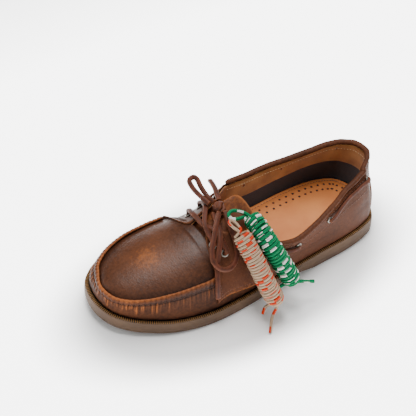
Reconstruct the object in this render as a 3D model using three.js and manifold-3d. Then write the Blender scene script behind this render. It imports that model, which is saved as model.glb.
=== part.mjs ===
// Boat shoe, left foot. A leather moccasin upper stands on a rubber unit sole and is laced at the throat.
// Millimetres. X runs from heel to toe, +Y is the outer (lateral) side, +Z is up, the floor is z = 0.
import * as THREE from 'three';
import { mergeVertices } from 'three/addons/utils/BufferGeometryUtils.js';
import Module from 'manifold-3d';

const wasm = await Module();
wasm.setup();

// Driving dimensions
const LENGTH = 288; // outsole, heel to toe
const BALL_WIDTH = 111; // outsole, across the ball
const INSTEP_RISE = 62; // upper above the sole's edge at the throat
const HEEL_STACK = 16.7; // sole edge under the heel
const FOREFOOT_STACK = 13.4; // sole edge under the ball
const TOE_SPRING = 7.7; // toe above the floor
const ARCH_RISE = 6; // waist above the floor
const LEDGE = 4.6; // sole edge that shows outside the upper
const WALL = 1.9; // vamp and lining together
const OVERLAY = 1.3; // one more layer of leather
const FIT_GAP = 0.3; // between two pieces that touch
const FOOTBED = 5.6; // insole thickness
const ROLL_WIDTH = 5.6; // rolled collar edge
const ROLL_HEIGHT = 4.6;
const SEAM_LIP = 1.7; // moccasin seam above the plug
const PLUG_CROWN = 18; // plug above its seam at the throat
const TONGUE_THICKNESS = 2;
const LACE = 4; // leather lace
const CORD = 2.4; // round spare lace
const EYELET_OUTER = 7.4;
const EYELET_BORE = 3.6;
const SIDE_EYELET_OUTER = 5.6;
const SIDE_EYELET_BORE = 2.8;
const EYELET_RIM = 0.9; // rim that stands on the leather
const TREAD_DEPTH = 1.4;
const TREAD_WIDTH = 2.2;
const TREAD_PITCH = 11;
const HANK_RADIUS = 9; // spare lace, wound up

// Outsole outline: along = share of LENGTH, outer and inner = shares of BALL_WIDTH
const OUTLINE = [
  { along: 0.03, outer: 0.256, inner: 0.21 },
  { along: 0.08, outer: 0.339, inner: 0.307 },
  { along: 0.16, outer: 0.386, inner: 0.357 },
  { along: 0.26, outer: 0.41, inner: 0.36 },
  { along: 0.36, outer: 0.437, inner: 0.344 },
  { along: 0.46, outer: 0.468, inner: 0.347 },
  { along: 0.56, outer: 0.5, inner: 0.39 },
  { along: 0.66, outer: 0.517, inner: 0.453 },
  { along: 0.74, outer: 0.501, inner: 0.485 },
  { along: 0.82, outer: 0.452, inner: 0.481 },
  { along: 0.89, outer: 0.368, inner: 0.432 },
  { along: 0.945, outer: 0.271, inner: 0.348 },
  { along: 0.985, outer: 0.142, inner: 0.228 },
];
const TOE_TIP = -0.042; // toe point off the centre line, share of BALL_WIDTH

// Top edge of the upper, from the heel round the outer side, the toe and the inner side.
// around = share of the way round the foot line, inset = inwards of it (share of BALL_WIDTH),
// rise = above the sole's edge (share of INSTEP_RISE), bulge = fullness of the side (share of BALL_WIDTH)
const EDGE = [
  { around: 0.0, inset: -0.014, rise: 0.863, bulge: 0.011 },
  { around: 0.0162, inset: 0.013, rise: 0.876, bulge: 0.011 },
  { around: 0.0398, inset: 0.072, rise: 0.877, bulge: 0.013 },
  { around: 0.0926, inset: 0.077, rise: 0.782, bulge: 0.013 },
  { around: 0.124, inset: 0.038, rise: 0.69, bulge: 0.009 },
  { around: 0.1611, inset: -0.014, rise: 0.621, bulge: 0.005 },
  { around: 0.1944, inset: -0.039, rise: 0.6, bulge: 0.005 },
  { around: 0.22, inset: -0.01, rise: 0.639, bulge: 0.009 },
  { around: 0.237, inset: 0.044, rise: 0.703, bulge: 0.013 },
  { around: 0.2498, inset: 0.118, rise: 0.816, bulge: 0.018 },
  { around: 0.2662, inset: 0.198, rise: 0.91, bulge: 0.023 },
  { around: 0.2815, inset: 0.261, rise: 0.961, bulge: 0.027 },
  { around: 0.3029, inset: 0.343, rise: 0.929, bulge: 0.027 },
  { around: 0.3105, inset: 0.299, rise: 0.865, bulge: 0.027 },
  { around: 0.316, inset: 0.205, rise: 0.8, bulge: 0.027 },
  { around: 0.3195, inset: 0.106, rise: 0.697, bulge: 0.023 },
  { around: 0.3214, inset: 0.039, rise: 0.606, bulge: 0.018 },
  { around: 0.3339, inset: 0.031, rise: 0.573, bulge: 0.018 },
  { around: 0.351, inset: 0.035, rise: 0.54, bulge: 0.018 },
  { around: 0.3897, inset: 0.03, rise: 0.46, bulge: 0.018 },
  { around: 0.4229, inset: 0.013, rise: 0.382, bulge: 0.018 },
  { around: 0.4606, inset: 0.005, rise: 0.311, bulge: 0.018 },
  { around: 0.4953, inset: 0.014, rise: 0.289, bulge: 0.018 },
  { around: 0.529, inset: 0.057, rise: 0.311, bulge: 0.018 },
  { around: 0.558, inset: 0.067, rise: 0.345, bulge: 0.018 },
  { around: 0.5792, inset: 0.076, rise: 0.385, bulge: 0.018 },
  { around: 0.6165, inset: 0.088, rise: 0.458, bulge: 0.018 },
  { around: 0.6575, inset: 0.097, rise: 0.54, bulge: 0.018 },
  { around: 0.6834, inset: 0.096, rise: 0.598, bulge: 0.018 },
  { around: 0.6885, inset: 0.2, rise: 0.735, bulge: 0.023 },
  { around: 0.6946, inset: 0.286, rise: 0.816, bulge: 0.027 },
  { around: 0.7065, inset: 0.36, rise: 0.889, bulge: 0.027 },
  { around: 0.7203, inset: 0.324, rise: 0.953, bulge: 0.027 },
  { around: 0.7365, inset: 0.261, rise: 0.994, bulge: 0.027 },
  { around: 0.7485, inset: 0.177, rise: 0.956, bulge: 0.023 },
  { around: 0.7601, inset: 0.083, rise: 0.861, bulge: 0.018 },
  { around: 0.7757, inset: -0.015, rise: 0.732, bulge: 0.009 },
  { around: 0.7954, inset: -0.038, rise: 0.665, bulge: 0.005 },
  { around: 0.8208, inset: -0.039, rise: 0.637, bulge: 0.005 },
  { around: 0.8413, inset: -0.023, rise: 0.653, bulge: 0.005 },
  { around: 0.8777, inset: 0.023, rise: 0.711, bulge: 0.009 },
  { around: 0.9113, inset: 0.047, rise: 0.777, bulge: 0.013 },
  { around: 0.9371, inset: 0.041, rise: 0.824, bulge: 0.013 },
  { around: 0.962, inset: 0.019, rise: 0.847, bulge: 0.013 },
  { around: 0.98, inset: -0.011, rise: 0.86, bulge: 0.011 },
];

// Places on the foot line where pieces start and stop
const TOE = 0.4953;
const OUTER_CORNER = 0.237; // front end of the collar
const INNER_CORNER = 0.7757;
const OUTER_SEAM_END = 0.3214; // where the plug seam meets the quarter
const INNER_SEAM_END = 0.6834;

// Tongue: along = share of LENGTH, centre and half = shares of BALL_WIDTH,
// rise and drop = shares of INSTEP_RISE
const TONGUE = [
  { along: 0.668, centre: 0.06, half: 0.15, rise: 0.825, drop: 0.1 },
  { along: 0.643, centre: 0.06, half: 0.16, rise: 0.852, drop: 0.11 },
  { along: 0.62, centre: 0.055, half: 0.17, rise: 0.9, drop: 0.13 },
  { along: 0.58, centre: 0.055, half: 0.19, rise: 0.94, drop: 0.15 },
  { along: 0.54, centre: 0.06, half: 0.19, rise: 0.985, drop: 0.13 },
  { along: 0.51, centre: 0.07, half: 0.17, rise: 1.04, drop: 0.1 },
  { along: 0.484, centre: 0.08, half: 0.14, rise: 1.12, drop: 0.07 },
];

const MATERIALS = {
  leather: new THREE.MeshStandardMaterial({ color: 0x6b4029, roughness: 0.5 }),
  rubber: new THREE.MeshStandardMaterial({ color: 0x7a6450, roughness: 0.75 }),
  footbed: new THREE.MeshStandardMaterial({ color: 0xc48e5c, roughness: 0.7 }),
  lace: new THREE.MeshStandardMaterial({ color: 0x55301f, roughness: 0.65 }),
  metal: new THREE.MeshStandardMaterial({ color: 0x9a9a98, roughness: 0.3, metalness: 1 }),
  green: new THREE.MeshStandardMaterial({ color: 0x0c8a50, roughness: 0.85 }),
  beige: new THREE.MeshStandardMaterial({ color: 0xc9b49a, roughness: 0.85 }),
};

const shoe = new THREE.Group();
const model = new THREE.Group();
model.add(shoe);

function addPiece(name, geometry, material) {
  geometry.computeVertexNormals();
  const mesh = new THREE.Mesh(geometry, MATERIALS[material]);
  mesh.name = name;
  shoe.add(mesh);
  return mesh;
}

// Curves and interpolation
function outlineCurve() {
  const outer = OUTLINE.map((row) => new THREE.Vector3(row.along * LENGTH, row.outer * BALL_WIDTH, 0));
  const inner = OUTLINE.map((row) => new THREE.Vector3(row.along * LENGTH, -row.inner * BALL_WIDTH, 0));
  const points = [new THREE.Vector3(0, 0, 0), ...outer];
  points.push(new THREE.Vector3(LENGTH, TOE_TIP * BALL_WIDTH, 0), ...inner.reverse());
  const curve = new THREE.CatmullRomCurve3(points, true, 'catmullrom', 0.5);
  curve.arcLengthDivisions = 2000;
  return curve;
}

const outline = outlineCurve();

function wrap(around) {
  return ((around % 1) + 1) % 1;
}

function outwardAt(around) {
  const tangent = outline.getTangentAt(wrap(around));
  return new THREE.Vector3(-tangent.y, tangent.x, 0).normalize();
}

function outlinePoint(around, inset) {
  const point = outline.getPointAt(wrap(around));
  return point.addScaledVector(outwardAt(around), -inset);
}

function smooth(value, low, high) {
  const share = THREE.MathUtils.clamp((value - low) / (high - low), 0, 1);
  return share * share * (3 - 2 * share);
}

function soleBottom(x) {
  const share = (x / LENGTH - 0.66) / 0.34;
  return share > 0 ? TOE_SPRING * share * share : 0;
}

function soleTop(x) {
  const stack = THREE.MathUtils.lerp(HEEL_STACK, FOREFOOT_STACK, smooth(x / LENGTH, 0.25, 0.6));
  return soleBottom(x) + stack;
}

// A column of a table as a periodic curve that never passes its neighbouring values
function trackOf(rows, column) {
  const places = [...rows.slice(-2).map((row) => row.around - 1), ...rows.map((row) => row.around)];
  places.push(...rows.slice(0, 2).map((row) => row.around + 1));
  const values = [...rows.slice(-2), ...rows, ...rows.slice(0, 2)].map((row) => row[column]);
  const steps = places.slice(1).map((place, i) => place - places[i]);
  const rates = steps.map((step, i) => (values[i + 1] - values[i]) / step);
  const slopes = values.map((value, i) => {
    if (i === 0 || i === values.length - 1 || rates[i - 1] * rates[i] <= 0) return 0;
    const first = 2 * steps[i] + steps[i - 1];
    const second = steps[i] + 2 * steps[i - 1];
    return (first + second) / (first / rates[i - 1] + second / rates[i]);
  });
  return (around) => {
    const place = wrap(around);
    let i = 0;
    while (i < steps.length - 1 && places[i + 1] <= place) i += 1;
    const t = (place - places[i]) / steps[i];
    const rest = 1 - t;
    const start = rest * rest * ((1 + 2 * t) * values[i] + t * steps[i] * slopes[i]);
    const end = t * t * ((3 - 2 * t) * values[i + 1] - rest * steps[i] * slopes[i + 1]);
    return start + end;
  };
}

const insetAt = trackOf(EDGE, 'inset');
const riseAt = trackOf(EDGE, 'rise');
const bulgeAt = trackOf(EDGE, 'bulge');

// Side of the upper at one place: a cubic from the foot line (t = 0) to the top edge (t = 1)
const LOW_HANDLE = 0.42;
const HIGH_HANDLE = 0.74;
const HANDLE_INSET = 0.5;
const HANDLE_BULGE = 0.7;

function sideSection(around) {
  const inset = insetAt(around) * BALL_WIDTH;
  const rise = riseAt(around) * INSTEP_RISE;
  const bulge = bulgeAt(around) * BALL_WIDTH;
  return new THREE.CubicBezierCurve(
    new THREE.Vector2(0, 0),
    new THREE.Vector2(bulge, LOW_HANDLE * rise),
    new THREE.Vector2(HANDLE_BULGE * bulge - HANDLE_INSET * inset, HIGH_HANDLE * rise),
    new THREE.Vector2(-inset, rise),
  );
}

// Point on the upper, proud of its leather by a given amount and lifted along the section
function sidePoint(around, t, proud = 0, lift = 0) {
  const section = sideSection(around);
  const point = section.getPoint(t);
  const along = section.getTangent(t);
  const out = outwardAt(around);
  const foot = outlinePoint(around, LEDGE);
  const reach = point.x + proud * along.y + lift * along.x;
  const height = point.y - proud * along.x + lift * along.y;
  foot.addScaledVector(out, reach);
  foot.z = soleTop(outlinePoint(around, LEDGE).x) + FIT_GAP + height;
  return foot;
}

// Stations round the foot line, closer where the top edge runs fast
const STATION_STEP = 12.5;
const STATION_CLOSE = 0.003; // rows of the table nearer than this to an end are left out

function stationsBetween(start, end) {
  const rows = [...EDGE, ...EDGE.map((row) => ({ ...row, around: row.around + 1 }))];
  const shifted = [...rows.map((row) => row.around - 1), ...EDGE.map((row) => row.around + 1)];
  const within = (place) => place > start + STATION_CLOSE && place < end - STATION_CLOSE;
  const stops = [start, ...shifted.filter(within), end];
  const stations = [start];
  for (let i = 1; i < stops.length; i += 1) {
    const foot = outlinePoint(stops[i], LEDGE).distanceTo(outlinePoint(stops[i - 1], LEDGE));
    const top = sidePoint(stops[i], 1).distanceTo(sidePoint(stops[i - 1], 1));
    const count = Math.max(1, Math.round(Math.max(foot, top) / STATION_STEP));
    for (let k = 1; k <= count; k += 1) {
      stations.push(THREE.MathUtils.lerp(stops[i - 1], stops[i], k / count));
    }
  }
  return stations;
}

// Solids from sections: every section is a closed loop with the same number of points
function solidFromSections(sections, closed) {
  const size = sections[0].length;
  const positions = sections.flat().flatMap((point) => point.toArray());
  const indices = [];
  const last = closed ? sections.length : sections.length - 1;
  for (let i = 0; i < last; i += 1) {
    const next = (i + 1) % sections.length;
    for (let j = 0; j < size; j += 1) {
      const k = (j + 1) % size;
      indices.push(i * size + j, next * size + j, next * size + k);
      indices.push(i * size + j, next * size + k, i * size + k);
    }
  }
  if (!closed) {
    const end = (sections.length - 1) * size;
    for (const [a, b, c] of capTriangles(size)) indices.push(a, b, c, end + c, end + b, end + a);
  }
  return closedGeometry(positions, indices);
}

// Triangles that close a section like the rungs of a ladder
function capTriangles(size) {
  const triangles = [];
  let low = 0;
  let high = size - 1;
  while (high - low > 1) {
    triangles.push([low, low + 1, high]);
    low += 1;
    if (high - low > 1) triangles.push([low, high - 1, high]);
    high -= 1;
  }
  return triangles;
}

function closedGeometry(positions, indices) {
  const raw = new THREE.BufferGeometry();
  raw.setAttribute('position', new THREE.Float32BufferAttribute(positions, 3));
  raw.setIndex(indices);
  const merged = mergeVertices(raw, 0.002);
  const kept = [];
  const index = merged.index.array;
  for (let i = 0; i < index.length; i += 3) {
    const [a, b, c] = [index[i], index[i + 1], index[i + 2]];
    if (a !== b && b !== c && c !== a) kept.push(a, b, c);
  }
  merged.setIndex(kept);
  return volumeOf(merged) < 0 ? turned(merged) : merged;
}

function volumeOf(geometry) {
  const position = geometry.attributes.position;
  const index = geometry.index.array;
  const [a, b, c] = [new THREE.Vector3(), new THREE.Vector3(), new THREE.Vector3()];
  let sum = 0;
  for (let i = 0; i < index.length; i += 3) {
    a.fromBufferAttribute(position, index[i]);
    b.fromBufferAttribute(position, index[i + 1]);
    c.fromBufferAttribute(position, index[i + 2]);
    sum += a.dot(b.cross(c)) / 6;
  }
  return sum;
}

function turned(geometry) {
  geometry.setIndex([...geometry.index.array].reverse());
  return geometry;
}

// Joins and cuts
function toSolid(geometry) {
  const plain = geometry.clone();
  plain.deleteAttribute('normal');
  plain.deleteAttribute('uv');
  const merged = mergeVertices(plain, 0.001);
  const vertProperties = Float32Array.from(merged.attributes.position.array);
  const triVerts = Uint32Array.from(merged.index.array);
  return new wasm.Manifold(new wasm.Mesh({ numProp: 3, vertProperties, triVerts }));
}

function fromSolid(solid) {
  const mesh = solid.getMesh();
  return closedGeometry([...mesh.vertProperties], [...mesh.triVerts]);
}

// Heights up the side at which the leather bends
const WALL_HEIGHTS = [0, 0.16, 0.34, 0.52, 0.7, 0.86, 1];

// A strip of leather on the upper, between two places and two heights, proud by inner to outer
function leatherStrip({ start, end, low, high, inner, outer, lift = 0 }) {
  const sections = stationsBetween(start, end).map((around) => {
    const heights = WALL_HEIGHTS.map((t) => THREE.MathUtils.clamp(t, low(around), high(around)));
    const raise = (t) => (t === 1 ? lift : 0);
    const back = heights.map((t) => sidePoint(around, t, inner, raise(t)));
    const face = heights.map((t) => sidePoint(around, t, outer, raise(t)));
    return [...back, ...face.reverse()];
  });
  return solidFromSections(sections, false);
}

// Outsole: sections across the foot, from the heel to the toe
const SOLE_SECTIONS = 32;
const SOLE_EDGE = 1.2; // bevel round the tread and the ledge
const SOLE_CROWDING = 0.6; // draws the sections towards heel and toe

function solePair(share, inset, heightAt) {
  const place = (around) => {
    const point = outlinePoint(around, inset);
    point.z = heightAt(point.x);
    return point;
  };
  return [place(share * TOE), place(1 - share * (1 - TOE))];
}

function sectionedPlate(levels) {
  const sections = [];
  for (let i = 0; i <= SOLE_SECTIONS; i += 1) {
    const share = (1 - Math.cos((Math.PI * i) / SOLE_SECTIONS)) / 2;
    const even = THREE.MathUtils.lerp(i / SOLE_SECTIONS, share, SOLE_CROWDING);
    const pairs = levels.map((level) => solePair(even, level.inset, level.height));
    sections.push([...pairs.map((pair) => pair[0]), ...pairs.map((pair) => pair[1]).reverse()]);
  }
  return solidFromSections(sections, false);
}

function outsole() {
  const body = toSolid(sectionedPlate([
    { inset: 2 * SOLE_EDGE, height: soleBottom },
    { inset: SOLE_EDGE / 3, height: (x) => soleBottom(x) + SOLE_EDGE },
    { inset: 0, height: (x) => THREE.MathUtils.lerp(soleBottom(x), soleTop(x), 0.5) },
    { inset: 0, height: (x) => soleTop(x) - SOLE_EDGE },
    { inset: (2 * SOLE_EDGE) / 3, height: soleTop },
    { inset: LEDGE + SOLE_EDGE, height: soleTop },
  ]));
  return fromSolid(body.subtract(archCutter()).subtract(treadCutter()));
}

// Side profile below the waist, from the heel breast to the ball
const ARCH_START = 0.27;
const ARCH_PEAK = 0.38;
const ARCH_END = 0.53;

function archCutter() {
  const shape = new THREE.Shape();
  shape.moveTo(ARCH_START * LENGTH, 0);
  const [rear, peak, front] = [ARCH_START * LENGTH, ARCH_PEAK * LENGTH, ARCH_END * LENGTH];
  shape.bezierCurveTo((rear + peak) / 2, 0, (rear + peak) / 2, ARCH_RISE, peak, ARCH_RISE);
  shape.bezierCurveTo((peak + front) / 2, ARCH_RISE, (peak + front) / 2, 0, front, 0);
  shape.lineTo(front, -ARCH_RISE);
  shape.lineTo(rear, -ARCH_RISE);
  return acrossFoot(shape, 6);
}

function acrossFoot(shape, curveSegments) {
  const settings = { depth: 2 * BALL_WIDTH, bevelEnabled: false, curveSegments };
  const geometry = new THREE.ExtrudeGeometry(shape, settings);
  geometry.rotateX(Math.PI / 2);
  geometry.translate(0, BALL_WIDTH, 0);
  return toSolid(geometry);
}

// Shallow tread bars, chevrons across heel and forefoot
const TREAD_SWEEP = 0.02; // share of LENGTH that a chevron leans forward at its middle
const TREAD_HALF = 0.36; // half of a chevron's width, share of BALL_WIDTH
const TREAD_ZONES = [
  { start: 0.05, end: 0.24 },
  { start: 0.55, end: 0.86 },
];

function treadBar(x) {
  const shape = new THREE.Shape();
  const half = TREAD_HALF * BALL_WIDTH;
  const lean = TREAD_SWEEP * LENGTH;
  shape.moveTo(x, -half);
  shape.lineTo(x + lean, 0);
  shape.lineTo(x, half);
  shape.lineTo(x + TREAD_WIDTH, half);
  shape.lineTo(x + TREAD_WIDTH + lean, 0);
  shape.lineTo(x + TREAD_WIDTH, -half);
  const geometry = new THREE.ExtrudeGeometry(shape, { depth: 2 * TREAD_DEPTH, bevelEnabled: false });
  geometry.translate(0, 0, soleBottom(x + lean / 2) - TREAD_DEPTH);
  return toSolid(geometry);
}

function treadCutter() {
  let cutter = null;
  for (const zone of TREAD_ZONES) {
    for (let x = zone.start * LENGTH; x < zone.end * LENGTH; x += TREAD_PITCH) {
      const bar = treadBar(x);
      cutter = cutter ? cutter.add(bar) : bar;
    }
  }
  return cutter;
}

addPiece('outsole', outsole(), 'rubber');

// Insole: fills the upper's inside on top of the sole, with rounded edges
const INSOLE_INSET = LEDGE + WALL + 5 * FIT_GAP;
const INSOLE_EDGE = 1;

addPiece('insole', sectionedPlate([
  { inset: INSOLE_INSET + INSOLE_EDGE, height: (x) => soleTop(x) + FIT_GAP },
  { inset: INSOLE_INSET, height: (x) => soleTop(x) + FIT_GAP + INSOLE_EDGE },
  { inset: INSOLE_INSET, height: (x) => soleTop(x) + FIT_GAP + FOOTBED - INSOLE_EDGE },
  { inset: INSOLE_INSET + INSOLE_EDGE, height: (x) => soleTop(x) + FIT_GAP + FOOTBED },
]), 'footbed');

// Upper: the side wall round the foot, joined to the plug over the toes, then bored for the eyelets
function sideWall() {
  const sections = stationsBetween(0, 1).slice(0, -1).map((around) => {
    const face = WALL_HEIGHTS.map((t) => sidePoint(around, t));
    const lining = WALL_HEIGHTS.map((t) => sidePoint(around, t, -WALL));
    return [...face, ...lining.reverse()];
  });
  return solidFromSections(sections, true);
}

const PLUG_ROWS = 11;
const PLUG_COLUMNS = 8;
const PLUG_FULLNESS = 0.62;
const PLUG_SKIN = 0.1; // plug's face below the seam's edge
const PLUG_START = 0.004; // first row, beside the toe point
const PLUG_CLOSER = 1.3; // crowds the rows towards the toe
const PLUG_TUCK = 5; // how far the plug runs back over the tongue past its seam
const PLUG_TUCK_DROP = 1;

function plugPoint(row, share, depth) {
  const seamed = Math.min(row, 1);
  const outer = sidePoint(THREE.MathUtils.lerp(TOE, OUTER_SEAM_END, seamed), 1, -WALL / 2, -depth);
  const inner = sidePoint(THREE.MathUtils.lerp(TOE, INNER_SEAM_END, seamed), 1, -WALL / 2, -depth);
  const point = outer.lerp(inner, share);
  const across = 1 - (2 * share - 1) ** 2;
  point.z += PLUG_CROWN * seamed ** PLUG_FULLNESS * across;
  if (row > 1) {
    point.x -= PLUG_TUCK * across;
    point.z -= PLUG_TUCK_DROP;
  }
  return point;
}

function plug() {
  const sections = [];
  for (let i = 0; i <= PLUG_ROWS + 1; i += 1) {
    const row = Math.max(i / PLUG_ROWS, PLUG_START) ** PLUG_CLOSER;
    const shares = Array.from({ length: PLUG_COLUMNS + 1 }, (_, j) => j / PLUG_COLUMNS);
    const top = shares.map((share) => plugPoint(row, share, PLUG_SKIN));
    const under = shares.map((share) => plugPoint(row, share, WALL + PLUG_SKIN));
    sections.push([...top, ...under.reverse()]);
  }
  return solidFromSections(sections, false);
}

// Eyelets: each sits on its quarter and passes through quarter and upper
const THROAT_EYELETS = [
  { name: 'eyelet_outer_front', around: 0.3035, height: 0.85 },
  { name: 'eyelet_outer_rear', around: 0.2925, height: 0.72 },
  { name: 'eyelet_inner_front', around: 0.714, height: 0.76 },
  { name: 'eyelet_inner_rear', around: 0.7295, height: 0.76 },
];
const SIDE_EYELETS = [
  { name: 'side_eyelet_outer_1', around: 0.194, height: 0.8 },
  { name: 'side_eyelet_outer_2', around: 0.136, height: 0.8 },
  { name: 'side_eyelet_outer_3', around: 0.05, height: 0.86 },
  { name: 'side_eyelet_inner_1', around: 0.804, height: 0.8 },
  { name: 'side_eyelet_inner_2', around: 0.864, height: 0.8 },
  { name: 'side_eyelet_inner_3', around: 0.95, height: 0.86 },
];
const PROUD = FIT_GAP + OVERLAY; // outer face of a quarter
const BARREL_WALL = 0.4;
const RIM_BEVEL = 0.4;
const EYELET_SIDES = 8;
const PROBE_AROUND = 0.004; // steps that find the leather's slope at a place
const PROBE_HEIGHT = 0.04;

function frameAt(around, height, proud) {
  const along = sidePoint(around + PROBE_AROUND, height).sub(sidePoint(around - PROBE_AROUND, height));
  const upward = sidePoint(around, height + PROBE_HEIGHT).sub(sidePoint(around, height - PROBE_HEIGHT));
  const axis = along.cross(upward).normalize();
  if (axis.dot(outwardAt(around)) < 0) axis.negate();
  const origin = sidePoint(around, height).addScaledVector(axis, proud);
  const turn = new THREE.Quaternion().setFromUnitVectors(new THREE.Vector3(0, 0, 1), axis);
  return new THREE.Matrix4().compose(origin, turn, new THREE.Vector3(1, 1, 1));
}

function boreThrough(eyelet, radius) {
  const geometry = new THREE.CylinderGeometry(radius, radius, 6 * PROUD, EYELET_SIDES);
  geometry.rotateX(Math.PI / 2);
  geometry.applyMatrix4(frameAt(eyelet.around, eyelet.height, 0));
  return toSolid(geometry);
}

function eyeletRing(eyelet, outer, bore) {
  const barrel = bore / 2 + BARREL_WALL;
  const profile = [
    new THREE.Vector2(bore / 2, -PROUD - WALL),
    new THREE.Vector2(barrel, -PROUD - WALL),
    new THREE.Vector2(barrel, 2 * FIT_GAP),
    new THREE.Vector2(outer / 2, 2 * FIT_GAP),
    new THREE.Vector2(outer / 2 - RIM_BEVEL, 2 * FIT_GAP + EYELET_RIM),
    new THREE.Vector2(bore / 2, 2 * FIT_GAP + EYELET_RIM),
    new THREE.Vector2(bore / 2, -PROUD - WALL),
  ];
  const geometry = new THREE.LatheGeometry(profile, EYELET_SIDES);
  geometry.deleteAttribute('normal');
  geometry.deleteAttribute('uv');
  geometry.rotateX(Math.PI / 2);
  geometry.applyMatrix4(frameAt(eyelet.around, eyelet.height, PROUD));
  return closedGeometry([...geometry.attributes.position.array], [...geometry.index.array]);
}

function bored(solid, side) {
  let result = solid;
  const clear = BARREL_WALL + FIT_GAP;
  for (const eyelet of THROAT_EYELETS.filter((row) => row.name.includes(side))) {
    result = result.subtract(boreThrough(eyelet, EYELET_BORE / 2 + clear));
  }
  for (const eyelet of SIDE_EYELETS.filter((row) => row.name.includes(side))) {
    result = result.subtract(boreThrough(eyelet, SIDE_EYELET_BORE / 2 + clear));
  }
  return result;
}

addPiece('upper', fromSolid(bored(toSolid(sideWall()).add(toSolid(plug())), 'eyelet')), 'leather');

// Quarters: from the front edge of the eyestay back to the heel seam.
// Their lower edge runs down to the sole.
const BACK_SEAM = 0.0012; // half of the gap between the quarters at the heel
const QUARTER_LOW = 0.17; // lower edge at its front corner
const QUARTER_LIFT = 0.004; // lower edge along the sole
const QUARTER_TUCK = 0.13; // share of the way round over which it runs down to the sole

function quarter(side) {
  const outerSide = side === 'outer';
  const front = outerSide ? OUTER_SEAM_END : INNER_SEAM_END;
  const start = outerSide ? BACK_SEAM : front;
  const end = outerSide ? front : 1 - BACK_SEAM;
  const low = (around) => {
    const near = smooth(QUARTER_TUCK - Math.abs(around - front), 0, QUARTER_TUCK);
    return QUARTER_LIFT + QUARTER_LOW * near;
  };
  const strip = leatherStrip({
    start, end, low, high: () => 1, inner: FIT_GAP, outer: PROUD,
  });
  return fromSolid(bored(toSolid(strip), side));
}

addPiece('quarter_outer', quarter('outer'), 'leather');
addPiece('quarter_inner', quarter('inner'), 'leather');

// Moccasin seam: the vamp's edge turned up round the plug
const SEAM_CLEAR = 0.004; // between the seam's ends and the quarters
const SEAM_LOW = 0.74;

addPiece('moc_seam', leatherStrip({
  start: OUTER_SEAM_END + SEAM_CLEAR,
  end: INNER_SEAM_END - SEAM_CLEAR,
  low: () => SEAM_LOW,
  high: () => 1,
  inner: FIT_GAP,
  outer: PROUD,
  lift: SEAM_LIP,
}), 'leather');

// Heel patch over the back seam
const PATCH_INNER = -0.038;
const PATCH_OUTER = 0.0398;
const PATCH_LOW = 0.01;
const PATCH_HEIGHT = 0.52;
const PATCH_CORNER = 0.06; // how much lower its corners are

addPiece('heel_patch', leatherStrip({
  start: PATCH_INNER,
  end: PATCH_OUTER,
  low: () => PATCH_LOW,
  high: (around) => PATCH_HEIGHT - PATCH_CORNER * smooth(Math.abs(around), PATCH_LOW, PATCH_OUTER),
  inner: PROUD + 2 * FIT_GAP,
  outer: PROUD + 2 * FIT_GAP + OVERLAY,
}), 'leather');

// Collar roll on the top edge, from one front corner round the heel to the other.
// A row of its section: out = share of half ROLL_WIDTH, up = share of ROLL_HEIGHT
const ROLL_SECTION = [
  { out: -0.8, up: 0 },
  { out: 0.8, up: 0 },
  { out: 1, up: 0.35 },
  { out: 0.75, up: 0.8 },
  { out: 0, up: 1 },
  { out: -0.75, up: 0.8 },
  { out: -1, up: 0.35 },
];

function collarRoll() {
  const centre = PROUD / 2 - WALL / 2;
  const sections = stationsBetween(INNER_CORNER - 1, OUTER_CORNER).map((around) => ROLL_SECTION.map(
    ({ out, up }) => sidePoint(around, 1, centre + (out * ROLL_WIDTH) / 2, FIT_GAP + up * ROLL_HEIGHT),
  ));
  return solidFromSections(sections, false);
}

addPiece('collar_roll', collarRoll(), 'leather');

// Tongue: sections across the foot under the lacing
const TONGUE_COLUMNS = 6;
const TONGUE_ROUNDING = 2.2;

function tongue() {
  const sections = TONGUE.map((row) => {
    const x = row.along * LENGTH;
    const crest = soleTop(x) + row.rise * INSTEP_RISE;
    const place = (share, depth) => {
      const y = (row.centre + share * row.half) * BALL_WIDTH;
      const drop = row.drop * INSTEP_RISE * Math.abs(share) ** TONGUE_ROUNDING;
      return new THREE.Vector3(x, y, crest - drop - depth);
    };
    const shares = Array.from({ length: TONGUE_COLUMNS + 1 }, (_, j) => (2 * j) / TONGUE_COLUMNS - 1);
    const top = shares.map((share) => place(share, 0));
    const under = shares.map((share) => place(share, TONGUE_THICKNESS));
    return [...top, ...under.reverse()];
  });
  return solidFromSections(sections, false);
}

addPiece('tongue', tongue(), 'leather');

for (const eyelet of THROAT_EYELETS) {
  addPiece(eyelet.name, eyeletRing(eyelet, EYELET_OUTER, EYELET_BORE), 'metal');
}
for (const eyelet of SIDE_EYELETS) {
  addPiece(eyelet.name, eyeletRing(eyelet, SIDE_EYELET_OUTER, SIDE_EYELET_BORE), 'metal');
}

// Laces. A row of a lace's route is a point of its middle: share of LENGTH from the heel,
// share of BALL_WIDTH to the outer side, and share of INSTEP_RISE above the sole's edge.
function routeOf(rows, thickness) {
  return rows.map(([along, across, up]) => {
    const x = along * LENGTH;
    const height = soleTop(x) + up * INSTEP_RISE;
    return new THREE.Vector3(x, across * BALL_WIDTH, Math.max(height, thickness / 2 + FIT_GAP));
  });
}

const LACE_SIDES = 8;

function laceTube(points, thickness, steps) {
  const path = new THREE.CatmullRomCurve3(points, false, 'centripetal');
  const section = new THREE.Shape();
  for (let i = 0; i < LACE_SIDES; i += 1) {
    const angle = (2 * Math.PI * (i + 0.5)) / LACE_SIDES;
    const corner = [(Math.cos(angle) * thickness) / 2, (Math.sin(angle) * thickness) / 2];
    if (i === 0) section.moveTo(...corner);
    else section.lineTo(...corner);
  }
  section.closePath();
  const geometry = new THREE.ExtrudeGeometry(section, { steps, extrudePath: path, bevelEnabled: false });
  geometry.deleteAttribute('normal');
  geometry.deleteAttribute('uv');
  const merged = mergeVertices(geometry, 0.002);
  return closedGeometry([...merged.attributes.position.array], [...merged.index.array]);
}

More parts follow.
